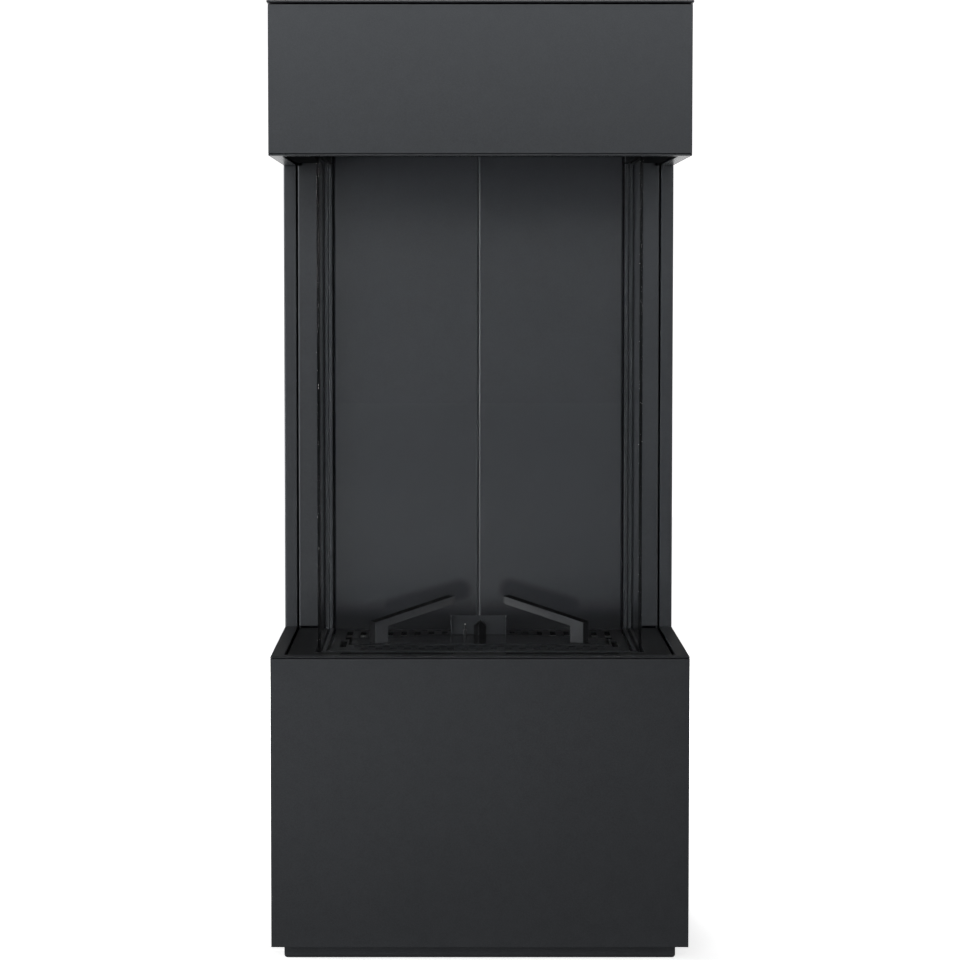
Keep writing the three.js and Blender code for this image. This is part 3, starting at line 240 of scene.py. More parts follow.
rub_and_edge_light, given, result = start_group("rubbed_and_lit_edges", {"Amount": 0.4}, ["Mask"])
mark = add(rub_and_edge_light, "ShaderNodeAttribute", attribute_name="edge").outputs["Fac"]
worn_and_lit = sum_of(rub_and_edge_light, "MULTIPLY", mark, noise(rub_and_edge_light, PATCH_SCALE, detail=4))
rub_and_edge_light.links.new(sum_of(rub_and_edge_light, "MULTIPLY", worn_and_lit, given["Amount"]), result["Mask"])

dust, given, result = start_group("settled_dust", {"Amount": 0.2}, ["Mask"])
level = spread(dust, facing_on(dust)["Z"], 0, 1, NEARLY_LEVEL, 1)
lying = sum_of(dust, "MULTIPLY", level, noise(dust, DUST_SCALE, detail=5))
dust.links.new(sum_of(dust, "MULTIPLY", lying, given["Amount"]), result["Mask"])

heat, given, result = start_group("heat_tint", {"Reach": 0.2, "Amount": 0.3}, ["Mask"])
burner_low, burner_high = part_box("burner_plate")
centred = add(heat, "ShaderNodeMapping", vector_type="POINT")
centred.inputs["Location"].default_value = -(burner_low + burner_high) / 2
heat.links.new(place_on(heat), centred.inputs["Vector"])
length = add(heat, "ShaderNodeVectorMath", operation="LENGTH")
heat.links.new(centred.outputs[0], length.inputs[0])
near = sum_of(heat, "SUBTRACT", 1.0, sum_of(heat, "DIVIDE", length.outputs["Value"], given["Reach"]))
patchy = sum_of(heat, "MULTIPLY", sum_of(heat, "MAXIMUM", near, 0.0), noise(heat, HEAT_SCALE, detail=4))
heat.links.new(sum_of(heat, "MULTIPLY", patchy, given["Amount"]), result["Mask"])
print("groups:", rub_and_edge_light.name, dust.name, heat.name)

# %% [markdown]
# Painted shadow is the last effect. It lies matt and black on the foot of the liners, where the base's rim
# shades them, and in a streak above each log support, where its shadow falls on the wall. The foot is a
# range of height. A streak is the distance from a line, which is found by turning the place until the line
# lies flat, so one Mapping node per streak is enough. Each streak is given by its middle, its slope and its
# half length.
# The painted shadow thins out over the folded seam between the liners, so that its round keeps its gloss.
# A second group paints shade on what faces up and on what faces outwards, away from the middle: the log
# supports' tops and outer sides, which the light from the front and below hardly reaches.

# %% Painted shadow and shade
SHADOW_TOP = 0.557
SHADOW_FOOT = 0.510
ARM_SHADOWS = (((-0.092, 0.547), 0.27, 0.062), ((0.110, 0.549), -0.29, 0.056))
STREAK_HALF_WIDTH = 0.010
STREAK_SOFTNESS = 0.016
STREAK_DARKNESS = 0.68
SEAM_WIDTH = 0.003
SEAM_SHADOW = 0.1
UNEVENNESS = 0.1
FACING_UP = (0.82, 0.93)
FACING_OUT = (0.5, 0.9)
SIDE_SHADE = 0.9


def smooth(tree, value, low, high, start, end):
    out = spread(tree, value, low, high, start, end)
    out.node.interpolation_type = "SMOOTHSTEP"
    return out


def arm_shadow(tree, middle, slope, half_length):
    turn = add(tree, "ShaderNodeMapping", vector_type="TEXTURE")
    turn.inputs["Location"].default_value = (middle[0], 0, middle[1])
    turn.inputs["Rotation"].default_value = (0, -slope, 0)
    tree.links.new(place_on(tree), turn.inputs["Vector"])
    turned_place = axes_of(tree, turn.outputs[0])
    past_end = sum_of(tree, "SUBTRACT", sum_of(tree, "ABSOLUTE", turned_place["X"], 0.0), half_length)
    along = sum_of(tree, "POWER", sum_of(tree, "MAXIMUM", past_end, 0.0), 2.0)
    across = sum_of(tree, "POWER", turned_place["Z"], 2.0)
    away = sum_of(tree, "SQRT", sum_of(tree, "ADD", across, along), 0.0)
    return smooth(tree, away, STREAK_DARKNESS, 0, STREAK_HALF_WIDTH, STREAK_HALF_WIDTH + STREAK_SOFTNESS)


# This group paints shadow on the liners: at their foot, where the base's rim shades them, and along the
# shadow of each log support.
painted_shadow, given, result = start_group("painted_shadow_film", {"Amount": 0.8}, ["Mask"])
where = axes_of(painted_shadow, place_on(painted_shadow))
shade_film = smooth(painted_shadow, where["Z"], 1, 0, SHADOW_FOOT, SHADOW_TOP)
for middle, slope, half_length in ARM_SHADOWS:
    shade_film = sum_of(painted_shadow, "MAXIMUM", shade_film, arm_shadow(painted_shadow, middle, slope, half_length))
from_seam = sum_of(painted_shadow, "ABSOLUTE", where["X"], 0.0)
shade_film = sum_of(painted_shadow, "MULTIPLY", shade_film, smooth(painted_shadow, from_seam, SEAM_SHADOW, 1, SEAM_WIDTH, SEAM_WIDTH * 2))
uneven = spread(painted_shadow, noise(painted_shadow, PATCH_SCALE, detail=3), 1 - UNEVENNESS, 1 + UNEVENNESS)
shade_film = sum_of(painted_shadow, "MULTIPLY", shade_film, uneven)
painted_shadow.links.new(sum_of(painted_shadow, "MULTIPLY", shade_film, given["Amount"]), result["Mask"])

# This group paints shade on the log supports' tops and outer sides.
painted_top_shade, given, result = start_group("painted_shade_on_top", {"Amount": 0.9}, ["Mask"])
facing = facing_on(painted_top_shade)
side = sum_of(painted_top_shade, "SIGN", axes_of(painted_top_shade, place_on(painted_top_shade))["X"], 0.0)
outward = sum_of(painted_top_shade, "MULTIPLY", side, facing["X"])
shade_film = sum_of(painted_top_shade, "MAXIMUM", smooth(painted_top_shade, facing["Z"], 0, 1, *FACING_UP),
              smooth(painted_top_shade, outward, 0, SIDE_SHADE, *FACING_OUT))
painted_top_shade.links.new(sum_of(painted_top_shade, "MULTIPLY", shade_film, given["Amount"]), result["Mask"])
print("groups:", painted_shadow.name, "with", len(painted_shadow.nodes), "nodes and", painted_top_shade.name, "with", len(painted_top_shade.nodes))

# %% [markdown]
# ## Painted steel
# The casing is fine-texture powder coat, nearly black. Most of the light that comes back from it is gloss
# and not colour: its front looks grey under the soft boxes, its level faces look black, and an underside
# that only grazes the view mirrors the white room. A mid grey would match one of these and miss the others.
# So the colour is dark, and the gloss is broad and a little cool. Where shade is painted on, the gloss comes
# from a coat instead, because a coat's weight may vary over the surface, and the painted shade takes it
# away.
# A film of painted shade is given as its group, its amount and the weight of the coat under it, and it is
# laid last.

# %% Paint
DUST_COLOUR = (0.16, 0.155, 0.15, 1)
HEAT_COLOUR = (0.05, 0.034, 0.024, 1)
SOOT_BLACK = (0.006, 0.006, 0.0065)
# The deep black is the colour of the painted shadow film, and the pilot's own black.
DEEP_BLACK = shade(SOOT_BLACK, 0.5)
COOL_GLOSS = (0.88, 0.935, 1, 1)
TONE_SWING = 0.2
GLOSS_SWING = 0.03
RUBBED_AND_LIT_TONE = 2.2


def painted(name, colour, roughness, grains=900, depth_mm=0.06, mottle=0.3, speck=0.5, edge_wear_and_light=0.3,
            dusty=0.05, heated=0.0, shine=0.5, shade_film=None):
    material, tree, shader = new_finish(name)
    surface = add(tree, "ShaderNodeGroup", node_tree=grain)
    surface.inputs["Grains"].default_value = grains
    surface.inputs["Mottle"].default_value = mottle
    surface.inputs["Speck"].default_value = speck
    darker, lighter = shade(colour, 1 - TONE_SWING), shade(colour, 1 + TONE_SWING)
    tone = mix_colour(tree, surface.outputs["Tone"], darker, lighter)
    shade_group, shade_amount, coat = shade_film or (painted_shadow, 0, 0)
    for group, amount, other in ((rub_and_edge_light, edge_wear_and_light, shade(colour, RUBBED_AND_LIT_TONE)), (dust, dusty, DUST_COLOUR),
                                 (heat, heated, HEAT_COLOUR), (shade_group, shade_amount, DEEP_BLACK)):
        if amount:
            mask = add(tree, "ShaderNodeGroup", node_tree=group)
            mask.inputs["Amount"].default_value = amount
            tone = mix_colour(tree, mask.outputs["Mask"], tone, other)
    shader.inputs["Specular IOR Level"].default_value = shine
    # Where shade is painted on, the coat and its gloss go too.
    if shade_amount:
        tree.links.new(spread(tree, mask.outputs["Mask"], coat, 0), shader.inputs["Coat Weight"])
        shader.inputs["Coat Roughness"].default_value = roughness
    tree.links.new(tone, shader.inputs["Base Color"])
    gloss = spread(tree, surface.outputs["Gloss"], roughness - GLOSS_SWING, roughness + GLOSS_SWING)
    tree.links.new(gloss, shader.inputs["Roughness"])
    shader.inputs["Specular Tint"].default_value = COOL_GLOSS
    bumped(tree, shader, surface.outputs["Height"], depth_mm)
    return material


print("the paint is ready, with", round(100 * TONE_SWING), "percent of tone either way")

# %% [markdown]
# ## One line for each paint
# Every painted part has its own recipe: a colour, a roughness, the grains per metre, and what hands, dust,
# heat and soot have done to it. Each could be a material drawn by hand, but then every change to the paint
# would be made once for each of them.

# %% Painted finishes
ANTHRACITE = (0.0200, 0.0208, 0.0225)
LINER_GREY = (0.0172, 0.0189, 0.0222)
PLASTIC_BLACK = (0.012, 0.012, 0.012)
LEVER_YELLOW = (0.62, 0.36, 0.02)
RUBBER_BLACK = (0.01, 0.01, 0.01)

finishes = {
    "casing_paint": painted("anthracite_powder_coat", ANTHRACITE, 0.38, grains=650, depth_mm=0.2, speck=4),
    "chamber_paint": painted("chamber_coat", shade(ANTHRACITE, 0.8), 0.4, depth_mm=0.08, mottle=0.4,
                             heated=0.25),
    # The liners' film is painted shadow at their foot and along the log supports' shadows.
    "liner_paint": painted("liner_coat", LINER_GREY, 0.38, grains=620, depth_mm=0.2, mottle=0.4, speck=2.5,
                           heated=0.2, shine=0, shade_film=(painted_shadow, 0.68, 0.93)),
    # Painted shade: the level decks and trims, and the chamber's back and floor seen through slots and gaps,
    # are darker than the casing because little light falls on them.
    "shaded_matt_black": painted("shaded_stove_black", shade(ANTHRACITE, 0.35), 0.5, mottle=0.4, shine=0.1),
    # Painted shadow: the upper trim and the upper channel under the hood are nearly black.
    "shadow_black": painted("painted_shadow_black", shade(ANTHRACITE, 0.35), 0.6, mottle=0.4, shine=0),
    "rim_paint": painted("rim_coat", shade(ANTHRACITE, 0.8), 0.42, grains=1100, shine=0.3),
    "hood_rim_paint": painted("hood_rim_coat", ANTHRACITE, 0.26, grains=1100, depth_mm=0.03, shine=0.7),
    "pilot_black": painted("pilot_oxide", DEEP_BLACK, 0.6, depth_mm=0.05, dusty=0, shine=0.08),
    "channel_black": painted("channel_black", SOOT_BLACK, 0.45, depth_mm=0.05),
    "burner_black": painted("burner_enamel", SOOT_BLACK, 0.14, grains=300, depth_mm=0.01, edge_wear_and_light=0.1,
                            dusty=0.02),
    # The log supports' strong edge tone is a painted highlight along their edges, and their film paints
    # shade on their tops and outer sides.
    "log_support_black": painted("log_support_coat", shade(ANTHRACITE, 1.05), 0.42, grains=800,
                                 depth_mm=0.08, edge_wear_and_light=0.9, heated=0.2, shine=0, shade_film=(painted_top_shade, 0.95, 0.4)),
    "black_plastic": painted("knob_plastic", PLASTIC_BLACK, 0.36, grains=1500, depth_mm=0.03),
    "electrode_ceramic": painted("electrode_glaze", PLASTIC_BLACK, 0.45, grains=500, depth_mm=0.02, dusty=0,
                                 shine=0.2),
    "lever_yellow": painted("lever_dip_coat", LEVER_YELLOW, 0.35, grains=400, depth_mm=0.04, edge_wear_and_light=0.1,
                            dusty=0.02),
}
rubber = painted("grommet_rubber", RUBBER_BLACK, 0.6, grains=700, depth_mm=0.05)
print("painted finishes:", ", ".join(finishes))

# %% [markdown]
# ## Plated steel, brass and copper
# The stand and the chamber's outer sheets are zinc plated, and zinc dries in faint crystals. Voronoi cells
# stand for the crystals, and change tone and gloss from cell to cell. Brass is turned, so its cells are
# stretched along the tool's path. Copper pipe bends every way, so no one stretch would follow it, and its
# cells stay even and nearly smooth. The rear screws are blackened steel, with cells too fine to see.
# All of these are metals, whose colour is in the reflection.

# %% Metal finishes
ZINC = (0.46, 0.47, 0.48)
BRASS = (0.60, 0.44, 0.19)
COPPER = (0.62, 0.30, 0.19)
BLACKENED_STEEL = (0.05, 0.05, 0.052)
EVEN = (1, 1, 1)
ALONG_THE_TOOL = (1, 0.08, 1)
LINES_PER_CELL = 3
DARK_CELL = 0.7
SMOOTHEST, ROUGHEST = 0.75, 1.3
LINE_STRENGTH = 0.4


def metal(name, colour, roughness, cells, depth_mm, stretch=EVEN):
    material, tree, shader = new_finish(name)
    shader.inputs["Metallic"].default_value = 1
    mapping = add(tree, "ShaderNodeMapping")
    mapping.inputs["Scale"].default_value = stretch
    tree.links.new(place_on(tree), mapping.inputs["Vector"])
    crystal = add(tree, "ShaderNodeTexVoronoi")
    crystal.inputs["Scale"].default_value = cells
    tree.links.new(mapping.outputs[0], crystal.inputs["Vector"])
    cell = add(tree, "ShaderNodeSeparateColor")
    tree.links.new(crystal.outputs["Color"], cell.inputs[0])
    lines = noise(tree, cells * LINES_PER_CELL, detail=4, place=mapping.outputs[0])
    average = sum_of(tree, "MULTIPLY", sum_of(tree, "ADD", cell.outputs[0], lines), 1 / 2)
    tone = mix_colour(tree, average, shade(colour, DARK_CELL), shade(colour, 1))
    tree.links.new(tone, shader.inputs["Base Color"])
    gloss = spread(tree, average, roughness * SMOOTHEST, roughness * ROUGHEST)
    tree.links.new(gloss, shader.inputs["Roughness"])
    bumped(tree, shader, lines, depth_mm, LINE_STRENGTH)
    return material


finishes["zinc_steel"] = metal("zinc_plate", ZINC, 0.36, cells=160, depth_mm=0.03)
finishes["brass"] = metal("turned_brass", BRASS, 0.28, cells=500, depth_mm=0.02, stretch=ALONG_THE_TOOL)
finishes["copper"] = metal("drawn_copper", COPPER, 0.3, cells=260, depth_mm=0.006)
blackened = metal("blackened_screw", BLACKENED_STEEL, 0.35, cells=900, depth_mm=0.02)
print("metal finishes: zinc_steel, brass, copper and", blackened.name)

# %% [markdown]
# ## Glass
# The panes are clear ceramic glass. A glass shader bends light, so a lamp could only reach the chamber as a
# caustic, which takes a very long render. Real light crosses a flat pane almost straight, so shadow rays
# get a plain see-through shader instead, chosen by the Light Path node. The tint is slight, and shows in
# the edges. Such panes often have a coat against reflections. A lower index than real glass's 1.5 stands
# for the coat, and keeps the soft boxes from painting bright squares over the fire.

# %% Glass finish
PANE_TINT = (0.93, 0.94, 0.945)
COATED_IOR = 1.25
TINT_SCALE = 25
TINT_DIP = 0.98


def pane_glass(name, tint, ior):
    material, tree, shader = new_finish(name)
    shader.inputs["Transmission Weight"].default_value = 1
    shader.inputs["Roughness"].default_value = 0
    shader.inputs["IOR"].default_value = ior
    drift = noise(tree, TINT_SCALE, detail=3)
    tint_over = mix_colour(tree, drift, shade(tint, 1), shade(tint, TINT_DIP))
    tree.links.new(tint_over, shader.inputs["Base Color"])
    clear = add(tree, "ShaderNodeBsdfTransparent")
    clear.inputs["Color"].default_value = shade(tint, 1)
    choose = add(tree, "ShaderNodeMixShader")
    tree.links.new(add(tree, "ShaderNodeLightPath").outputs["Is Shadow Ray"], choose.inputs[0])
    tree.links.new(shader.outputs[0], choose.inputs[1])
    tree.links.new(clear.outputs[0], choose.inputs[2])
    tree.links.new(choose.outputs[0], tree.nodes["Material Output"].inputs["Surface"])
    return material


finishes["glass"] = pane_glass("ceramic_glass", PANE_TINT, COATED_IOR)
print("finishes:", len(finishes))

# %% [markdown]
# ## Where each finish goes
# The frame's record gives every node a material slot, and most nodes take that slot's finish. A few look
# different from the rest of their slot: the level decks and trims, and the chamber's back and floor behind
# the slots and gaps, are painted darker as painted shade; the upper trim and channel under the hood are
# painted nearly black as painted shadow; the rims have a gloss of their own, and the pilot is nearly black.
# The record could hold a slot for each, but a slot stands for a material, and these are all painted steel.
# So they keep their slot and get another finish.

# %% Finish of each node
# The first two finishes paint shade and shadow on the nodes they list.
SPECIAL_FINISHES = {
    "shaded_matt_black": ("deck_front", "deck_rear", "front_trim", "side_trim_left", "side_trim_right",
                   "chamber_back", "chamber_floor"),
    "shadow_black": ("upper_trim", "glass_channel_upper"),
    "liner_paint": ("back_liner_left", "back_liner_right"),
    "rim_paint": ("base_rim", "pilot_shield"),
    "hood_rim_paint": ("hood_rim",),
    "pilot_black": ("pilot_hood",),
}
special_of = {node: finish for finish, names in SPECIAL_FINISHES.items() for node in names}


def finish_of(node):
    return finishes[special_of.get(node, slot_of[node])]


print("nodes with a finish of their own:", len(special_of))

# %% [markdown]
# ## Folded sheets with real edges
# A fold or a cut edge is never perfectly sharp, and its thin round is what draws the bright lines in the
# photograph. A Bevel modifier does nothing on the frame's loose triangles. So each shown node is copied,
# its triangles are welded and cleared to flat faces, and its edges are rounded with bmesh. The big folds
# are round in the frame already. The rounded faces are marked, so that the paint knows where its edges are.
# A Weighted Normal modifier keeps the shading of each flat level right up to its rounds.

# %% Rounded copies
WELD_DISTANCE = 0.001 * MM
FLAT_ANGLE = math.radians(0.5)
EDGE_ANGLE = math.radians(35)
SMOOTH_ANGLE = math.radians(50)
finished = {}


def finish_object(name, bm):
    mesh = bpy.data.meshes.new(name)
    bm.to_mesh(mesh)
    bm.free()
    mesh.shade_smooth()
    mesh.set_sharp_from_angle(angle=SMOOTH_ANGLE)
    piece = bpy.data.objects.new(name, mesh)
    bpy.context.scene.collection.objects.link(piece)
    return piece


def dress(piece, body, slot, material=None):
    piece.data.materials.append(material or finishes[slot])
    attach(piece, body)
    return piece


def rounded_copy(node, width_mm, segments=2):
    bm = bmesh.new()
    bm.from_mesh(nodes[node].data)
    bmesh.ops.remove_doubles(bm, verts=bm.verts, dist=WELD_DISTANCE)
    bmesh.ops.dissolve_limit(bm, angle_limit=FLAT_ANGLE, verts=bm.verts, edges=bm.edges)
    sharp = [edge for edge in bm.edges if edge.is_manifold and edge.calc_face_angle(0) > EDGE_ANGLE]
    made = bmesh.ops.bevel(bm, geom=sharp, offset=width_mm * MM, offset_type="OFFSET", segments=segments,
                           profile=0.5, affect="EDGES", clamp_overlap=True, material=-1)
    edge_mark = bm.verts.layers.float.new("edge")
    for face in made["faces"]:
        for corner in face.verts:
            corner[edge_mark] = 1
    piece = finish_object(f"{node}_finished", bm)
    weights = piece.modifiers.new("weighted normals", "WEIGHTED_NORMAL")
    weights.keep_sharp = True
    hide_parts(node)
    finished[node] = dress(piece, body_of[node], slot_of[node], finish_of(node))


def round_all(title, widths_mm, segments=2):
    for node, width in widths_mm.items():
        rounded_copy(node, width, segments)
    print(title, "rounded:", ", ".join(widths_mm))


print("edges of more than", round(math.degrees(EDGE_ANGLE)), "degrees get a round")

# %% [markdown]
# ## The casing
# The hood, the column and the base are folded from 2 mm sheet, and their corners meet as mitres with a fine
# round. The cap plate is thicker, and its edge is dressed by hand, so it gets a little more.

# %% Casing
round_all("casing", {
    "hood_front": 0.8, "hood_side_left": 0.7, "hood_side_right": 0.7, "hood_back": 0.7, "hood_rim": 0.8,
    "top_cap": 1.2, "access_door": 0.9, "base_side_left": 0.6, "base_side_right": 0.6, "base_back": 0.7,
    "base_rim": 0.9, "base_floor": 0.6, "plinth": 0.6, "column_back": 0.7,
    "column_side_left": 0.5, "column_side_right": 0.5, "column_trim_left": 0.5, "column_trim_right": 0.5,
})

# %% [markdown]
# ## The chamber and its glass
# The trims and channels are thinner, so their rounds are finer. The panes have ground edges, half a
# millimetre wide, which catch the light as thin white lines.

# %% Chamber
round_all("chamber", {
    "side_trim_left": 0.4, "side_trim_right": 0.4, "front_trim": 0.4, "upper_trim": 0.5,
    "glass_channel_lower": 0.5, "glass_channel_upper": 0.5, "glass_post_left": 0.5, "glass_post_right": 0.5,
    "back_liner_left": 0.5, "back_liner_right": 0.5,
    "front_glass": 0.5, "side_glass_left": 0.5, "side_glass_right": 0.5,
})

# %% [markdown]
# ## The burner
# Here the small parts live: slotted decks, the enamelled plate, the log supports and the pilot.
# The supports are cast, and a casting leaves the mould with softer corners than a sheet has.

# %% Burner
round_all("burner", {
    "deck_front": 0.4, "deck_rear": 0.4, "burner_plate": 0.5, "pilot_shield": 0.4, "pilot_hood": 0.3,
    "ignition_electrode": 0.3,
})
round_all("castings", {"log_bar_left": 0.7, "log_bar_right": 0.7}, segments=3)

# %% [markdown]
# ## The controls
# Behind the door sit the bracket, the valve with its knob and button, and the gas cock. The valve body is a
# die casting, and the lever is dipped in soft plastic, so both are rounder than the bracket.

# %% Controls
round_all("controls", {"control_bracket": 0.5, "door_hinge_lower": 0.4, "door_hinge_upper": 0.4})
round_all("valve", {"gas_valve": 0.8, "gas_cock": 0.6, "gas_cock_lever": 0.9, "door_catch": 0.8}, segments=3)
triangles = sum(len(polygon.vertices) - 2 for piece in finished.values() for polygon in piece.data.polygons)
print("rounded copies:", len(finished), "with", triangles, "triangles")

# %% [markdown]
# ## The nodes that stay as they are
# What is left has the right shape already: the stand, the chamber's outer sheets, the hood's top sheet, the
# pipes, the knob and button, and the flue collars.
# Those nodes keep the frame's own meshes and only get their finish.

# %% Finishes on the frame's own nodes
for name, node in nodes.items():
    if name not in finished:
        node.data.materials.clear()
        node.data.materials.append(finish_of(name))
        node.data.shade_smooth()
        node.data.set_sharp_from_angle(angle=SMOOTH_ANGLE)
print("carried nodes:", ", ".join(sorted(set(nodes) - set(finished))))

# %% [markdown]
# ## Helpers for added pieces
# A few small things are too fine for the frame: screws, louvre lips, nuts, a grommet, a seal and a wire.
# Most of them are turned, so one helper spins a short profile of radius and height once round and welds it.
# It could be done with cylinders and booleans, but a spun profile keeps its chamfers and has no stray faces.

# %% Turned and repeated pieces
def turned(profile_mm, steps):
    bm = bmesh.new()
    ring = [bm.verts.new((radius * MM, 0, height * MM)) for radius, height in profile_mm]
    edges = [bm.edges.new(pair) for pair in zip(ring, ring[1:] + ring[:1])]
    bmesh.ops.spin(bm, geom=ring + edges, cent=(0, 0, 0), axis=(0, 0, 1), angle=math.tau, steps=steps,
                   use_merge=True)
    bmesh.ops.remove_doubles(bm, verts=bm.verts, dist=WELD_DISTANCE)
    bmesh.ops.recalc_face_normals(bm, faces=bm.faces)
    mesh = bpy.data.meshes.new("pattern")
    bm.to_mesh(mesh)
    bm.free()
    return mesh


def set_out(name, pattern, places, body, slot, material=None):
    bm = bmesh.new()
    for place in places:
        old = set(bm.verts)
        bm.from_mesh(pattern)
        bmesh.ops.transform(bm, matrix=place, verts=[corner for corner in bm.verts if corner not in old])
    piece = dress(finish_object(name, bm), body, slot, material)
    print(name, "has", len(places), "copies and", len(piece.data.polygons), "faces")


def at(x_mm, y_mm, z_mm, axis="Z"):
    turn = {"Z": Matrix.Identity(4), "Y": Matrix.Rotation(-math.pi / 2, 4, "X"),
            "-Y": Matrix.Rotation(math.pi / 2, 4, "X"), "X": Matrix.Rotation(math.pi / 2, 4, "Y")}[axis]
    return Matrix.Translation((x_mm * MM, y_mm * MM, z_mm * MM)) @ turn


print("helpers for turned and repeated pieces are ready")

# %% [markdown]
# ## Screws in the rear sheets
# From behind, a fire like this is a box held by screws, so that it can be opened from the wall side.
# Each is a low button head with a socket. A flattened sphere would be quicker, but a real head has a flat
# bearing face, a short wall and a low crown, so its profile is turned. The socket is a round bore, open down
# to the foot of the head.

# %% Rear screws
HEAD_RADIUS = 4
HEAD_FOOT = 0.5
HEAD_RISE = 1.7
SOCKET_RADIUS = 1.6
HEAD_PROFILE = [(SOCKET_RADIUS, HEAD_FOOT), (SOCKET_RADIUS, HEAD_RISE), (2.6, 1.55), (3.5, 1.1),
                (HEAD_RADIUS, HEAD_FOOT), (HEAD_RADIUS, 0), (1.55, 0)]
SCREW_INSET = 12
SCREW_PITCH = 164
SCREW_COLUMNS = 5

head = turned(HEAD_PROFILE, steps=24)
rear_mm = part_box("column_back")[1].y / MM
screws = []
for sheet in ("base_back", "column_back", "hood_back"):
    low, high = (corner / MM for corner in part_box(sheet))
    columns = [low.x + SCREW_INSET + step * SCREW_PITCH for step in range(SCREW_COLUMNS)]
    for level in (low.z + SCREW_INSET, high.z - SCREW_INSET):
        screws += [at(x, rear_mm, level, "Y") for x in columns]
    for x in (columns[0], columns[-1]):
        screws.append(at(x, rear_mm, (low.z + high.z) / 2, "Y"))
set_out("rear_screws", head, screws, "casing", "zinc_steel", blackened)

# %% [markdown]
# ## Louvre lips
# Air enters low in the base and leaves high in the hood through rows of slots. A punched slot would let one
# look straight in, so a real louvre is pressed: its upper edge turns inwards as a small hood. An edge as
# long as the slot is spun a quarter turn about the slot's lower side, which gives that curve, and Solidify
# gives its sheet.

# %% Louvres
LIP_RADIUS = 7
LIP_SHEET = 1
LIP_STEPS = 4
SLOT_LENGTH = 80
ROW_PITCH = 18
COLUMN_PITCH = 110
COLUMNS = (-2, -1, 0, 1, 2)
SLOT_EDGE = 46

bm = bmesh.new()
inner_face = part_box("base_back")[0].y
for sheet, rows in (("base_back", 6), ("hood_back", 5)):
    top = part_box(sheet)[1].z - SLOT_EDGE * MM
    for column in COLUMNS:
        for row in range(rows):
            x = column * COLUMN_PITCH * MM
            z = top - row * ROW_PITCH * MM
            ends = [bm.verts.new((x + side * SLOT_LENGTH / 2 * MM, inner_face, z)) for side in (-1, 1)]
            edge = bm.edges.new(ends)
            bmesh.ops.spin(bm, geom=[*ends, edge], cent=(x, inner_face, z - LIP_RADIUS * MM), axis=(1, 0, 0),
                           angle=math.pi / 2, steps=LIP_STEPS)
bmesh.ops.recalc_face_normals(bm, faces=bm.faces)
lips = dress(finish_object("louvre_lips", bm), "casing", "casing_paint")
thick = lips.modifiers.new("sheet", "SOLIDIFY")
thick.thickness = LIP_SHEET * MM
thick.offset = 0
print("louvre lips:", len(lips.data.polygons) // LIP_STEPS)

# %% [markdown]
# ## Grommet
# A rubber grommet keeps the gas pipe from the cut edge of the rear sheet. It has a wide lip outside and a
# narrow neck in the hole. A torus would pass from afar, but it has no neck, so the real profile is turned.

# %% Grommet
GAS_ENTRY = (130, 85)
GROMMET_PROFILE = [(26.5, -3), (31, -3), (31, -0.2), (29.6, 0), (29.6, 0.2), (32.5, 0.4), (32.5, 1.6),
                   (29, 1.9), (27, 1.4)]
entry = at(GAS_ENTRY[0], rear_mm, GAS_ENTRY[1], "Y")
grommet = turned(GROMMET_PROFILE, steps=48)
set_out("gas_entry_grommet", grommet, [entry], "casing", "black_plastic", rubber)

# %% [markdown]
# ## Flue seal
# The inner flue pipe pushes over its collar, and a ridged silicone ring seals it. The ridges could be three
# rings, but they are moulded in one piece, so one profile repeats a small crest and is turned once.

# %% Flue seal
SILICONE_RED = (0.20, 0.028, 0.018)
RING_GRIP = 0.2
RING_WALL = 0.8
RIDGE_PROUD = 2.2
RIDGE_PITCH = 4
RIDGES = 3
CREST_SHARE = 0.35
FOOT_SHARE = 0.8
SEAL_DROP = 22


def ridged_ring(radius):
    inner, valley, crest = radius - RING_GRIP, radius + RING_WALL, radius + RIDGE_PROUD
    profile = [(inner, 0)]
    for ridge in range(RIDGES):
        base = ridge * RIDGE_PITCH
        profile += [(valley, base), (crest, base + RIDGE_PITCH * CREST_SHARE),
                    (valley, base + RIDGE_PITCH * FOOT_SHARE)]
    return turned([*profile, (valley, RIDGES * RIDGE_PITCH), (inner, RIDGES * RIDGE_PITCH)], steps=64)


flue_low, flue_high = (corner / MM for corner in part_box("flue_collar_inner"))
flue_middle = (flue_low + flue_high) / 2
seal_place = at(flue_middle.x, flue_middle.y, flue_high.z - SEAL_DROP)
silicone = painted("flue_silicone", SILICONE_RED, 0.5, grains=600, depth_mm=0.04)
set_out("flue_seal", ridged_ring(flue_high.x), [seal_place], "casing", "black_plastic", silicone)

# %% [markdown]
# ## Pipe nuts
# Where a pipe meets the valve or the cock, a brass compression nut holds it. A nut is a turned part whose
# round became six flats, and spinning its profile in only six steps gives the flats, chamfers included.

# %% Pipe nuts
NUT_SIDES = 6
NUT_CHAMFER = 0.8
BURNER_PIPE_END = (-115, -138.5, 172.3)
PILOT_PIPE_END = (-75, -138.5, 172.3)
FEED_AT_VALVE = (-42.8, -138.5, 135, "X")
FEED_AT_COCK = (130, -180.3, 70, "-Y")


def nut(across_flats, bore, height):
    corner = across_flats / 2 / math.cos(math.pi / NUT_SIDES)
    crown = corner - NUT_CHAMFER
    profile = [(bore, 0), (crown, 0), (corner, NUT_CHAMFER), (corner, height - NUT_CHAMFER), (crown, height),
               (bore, height)]
    return turned(profile, NUT_SIDES)


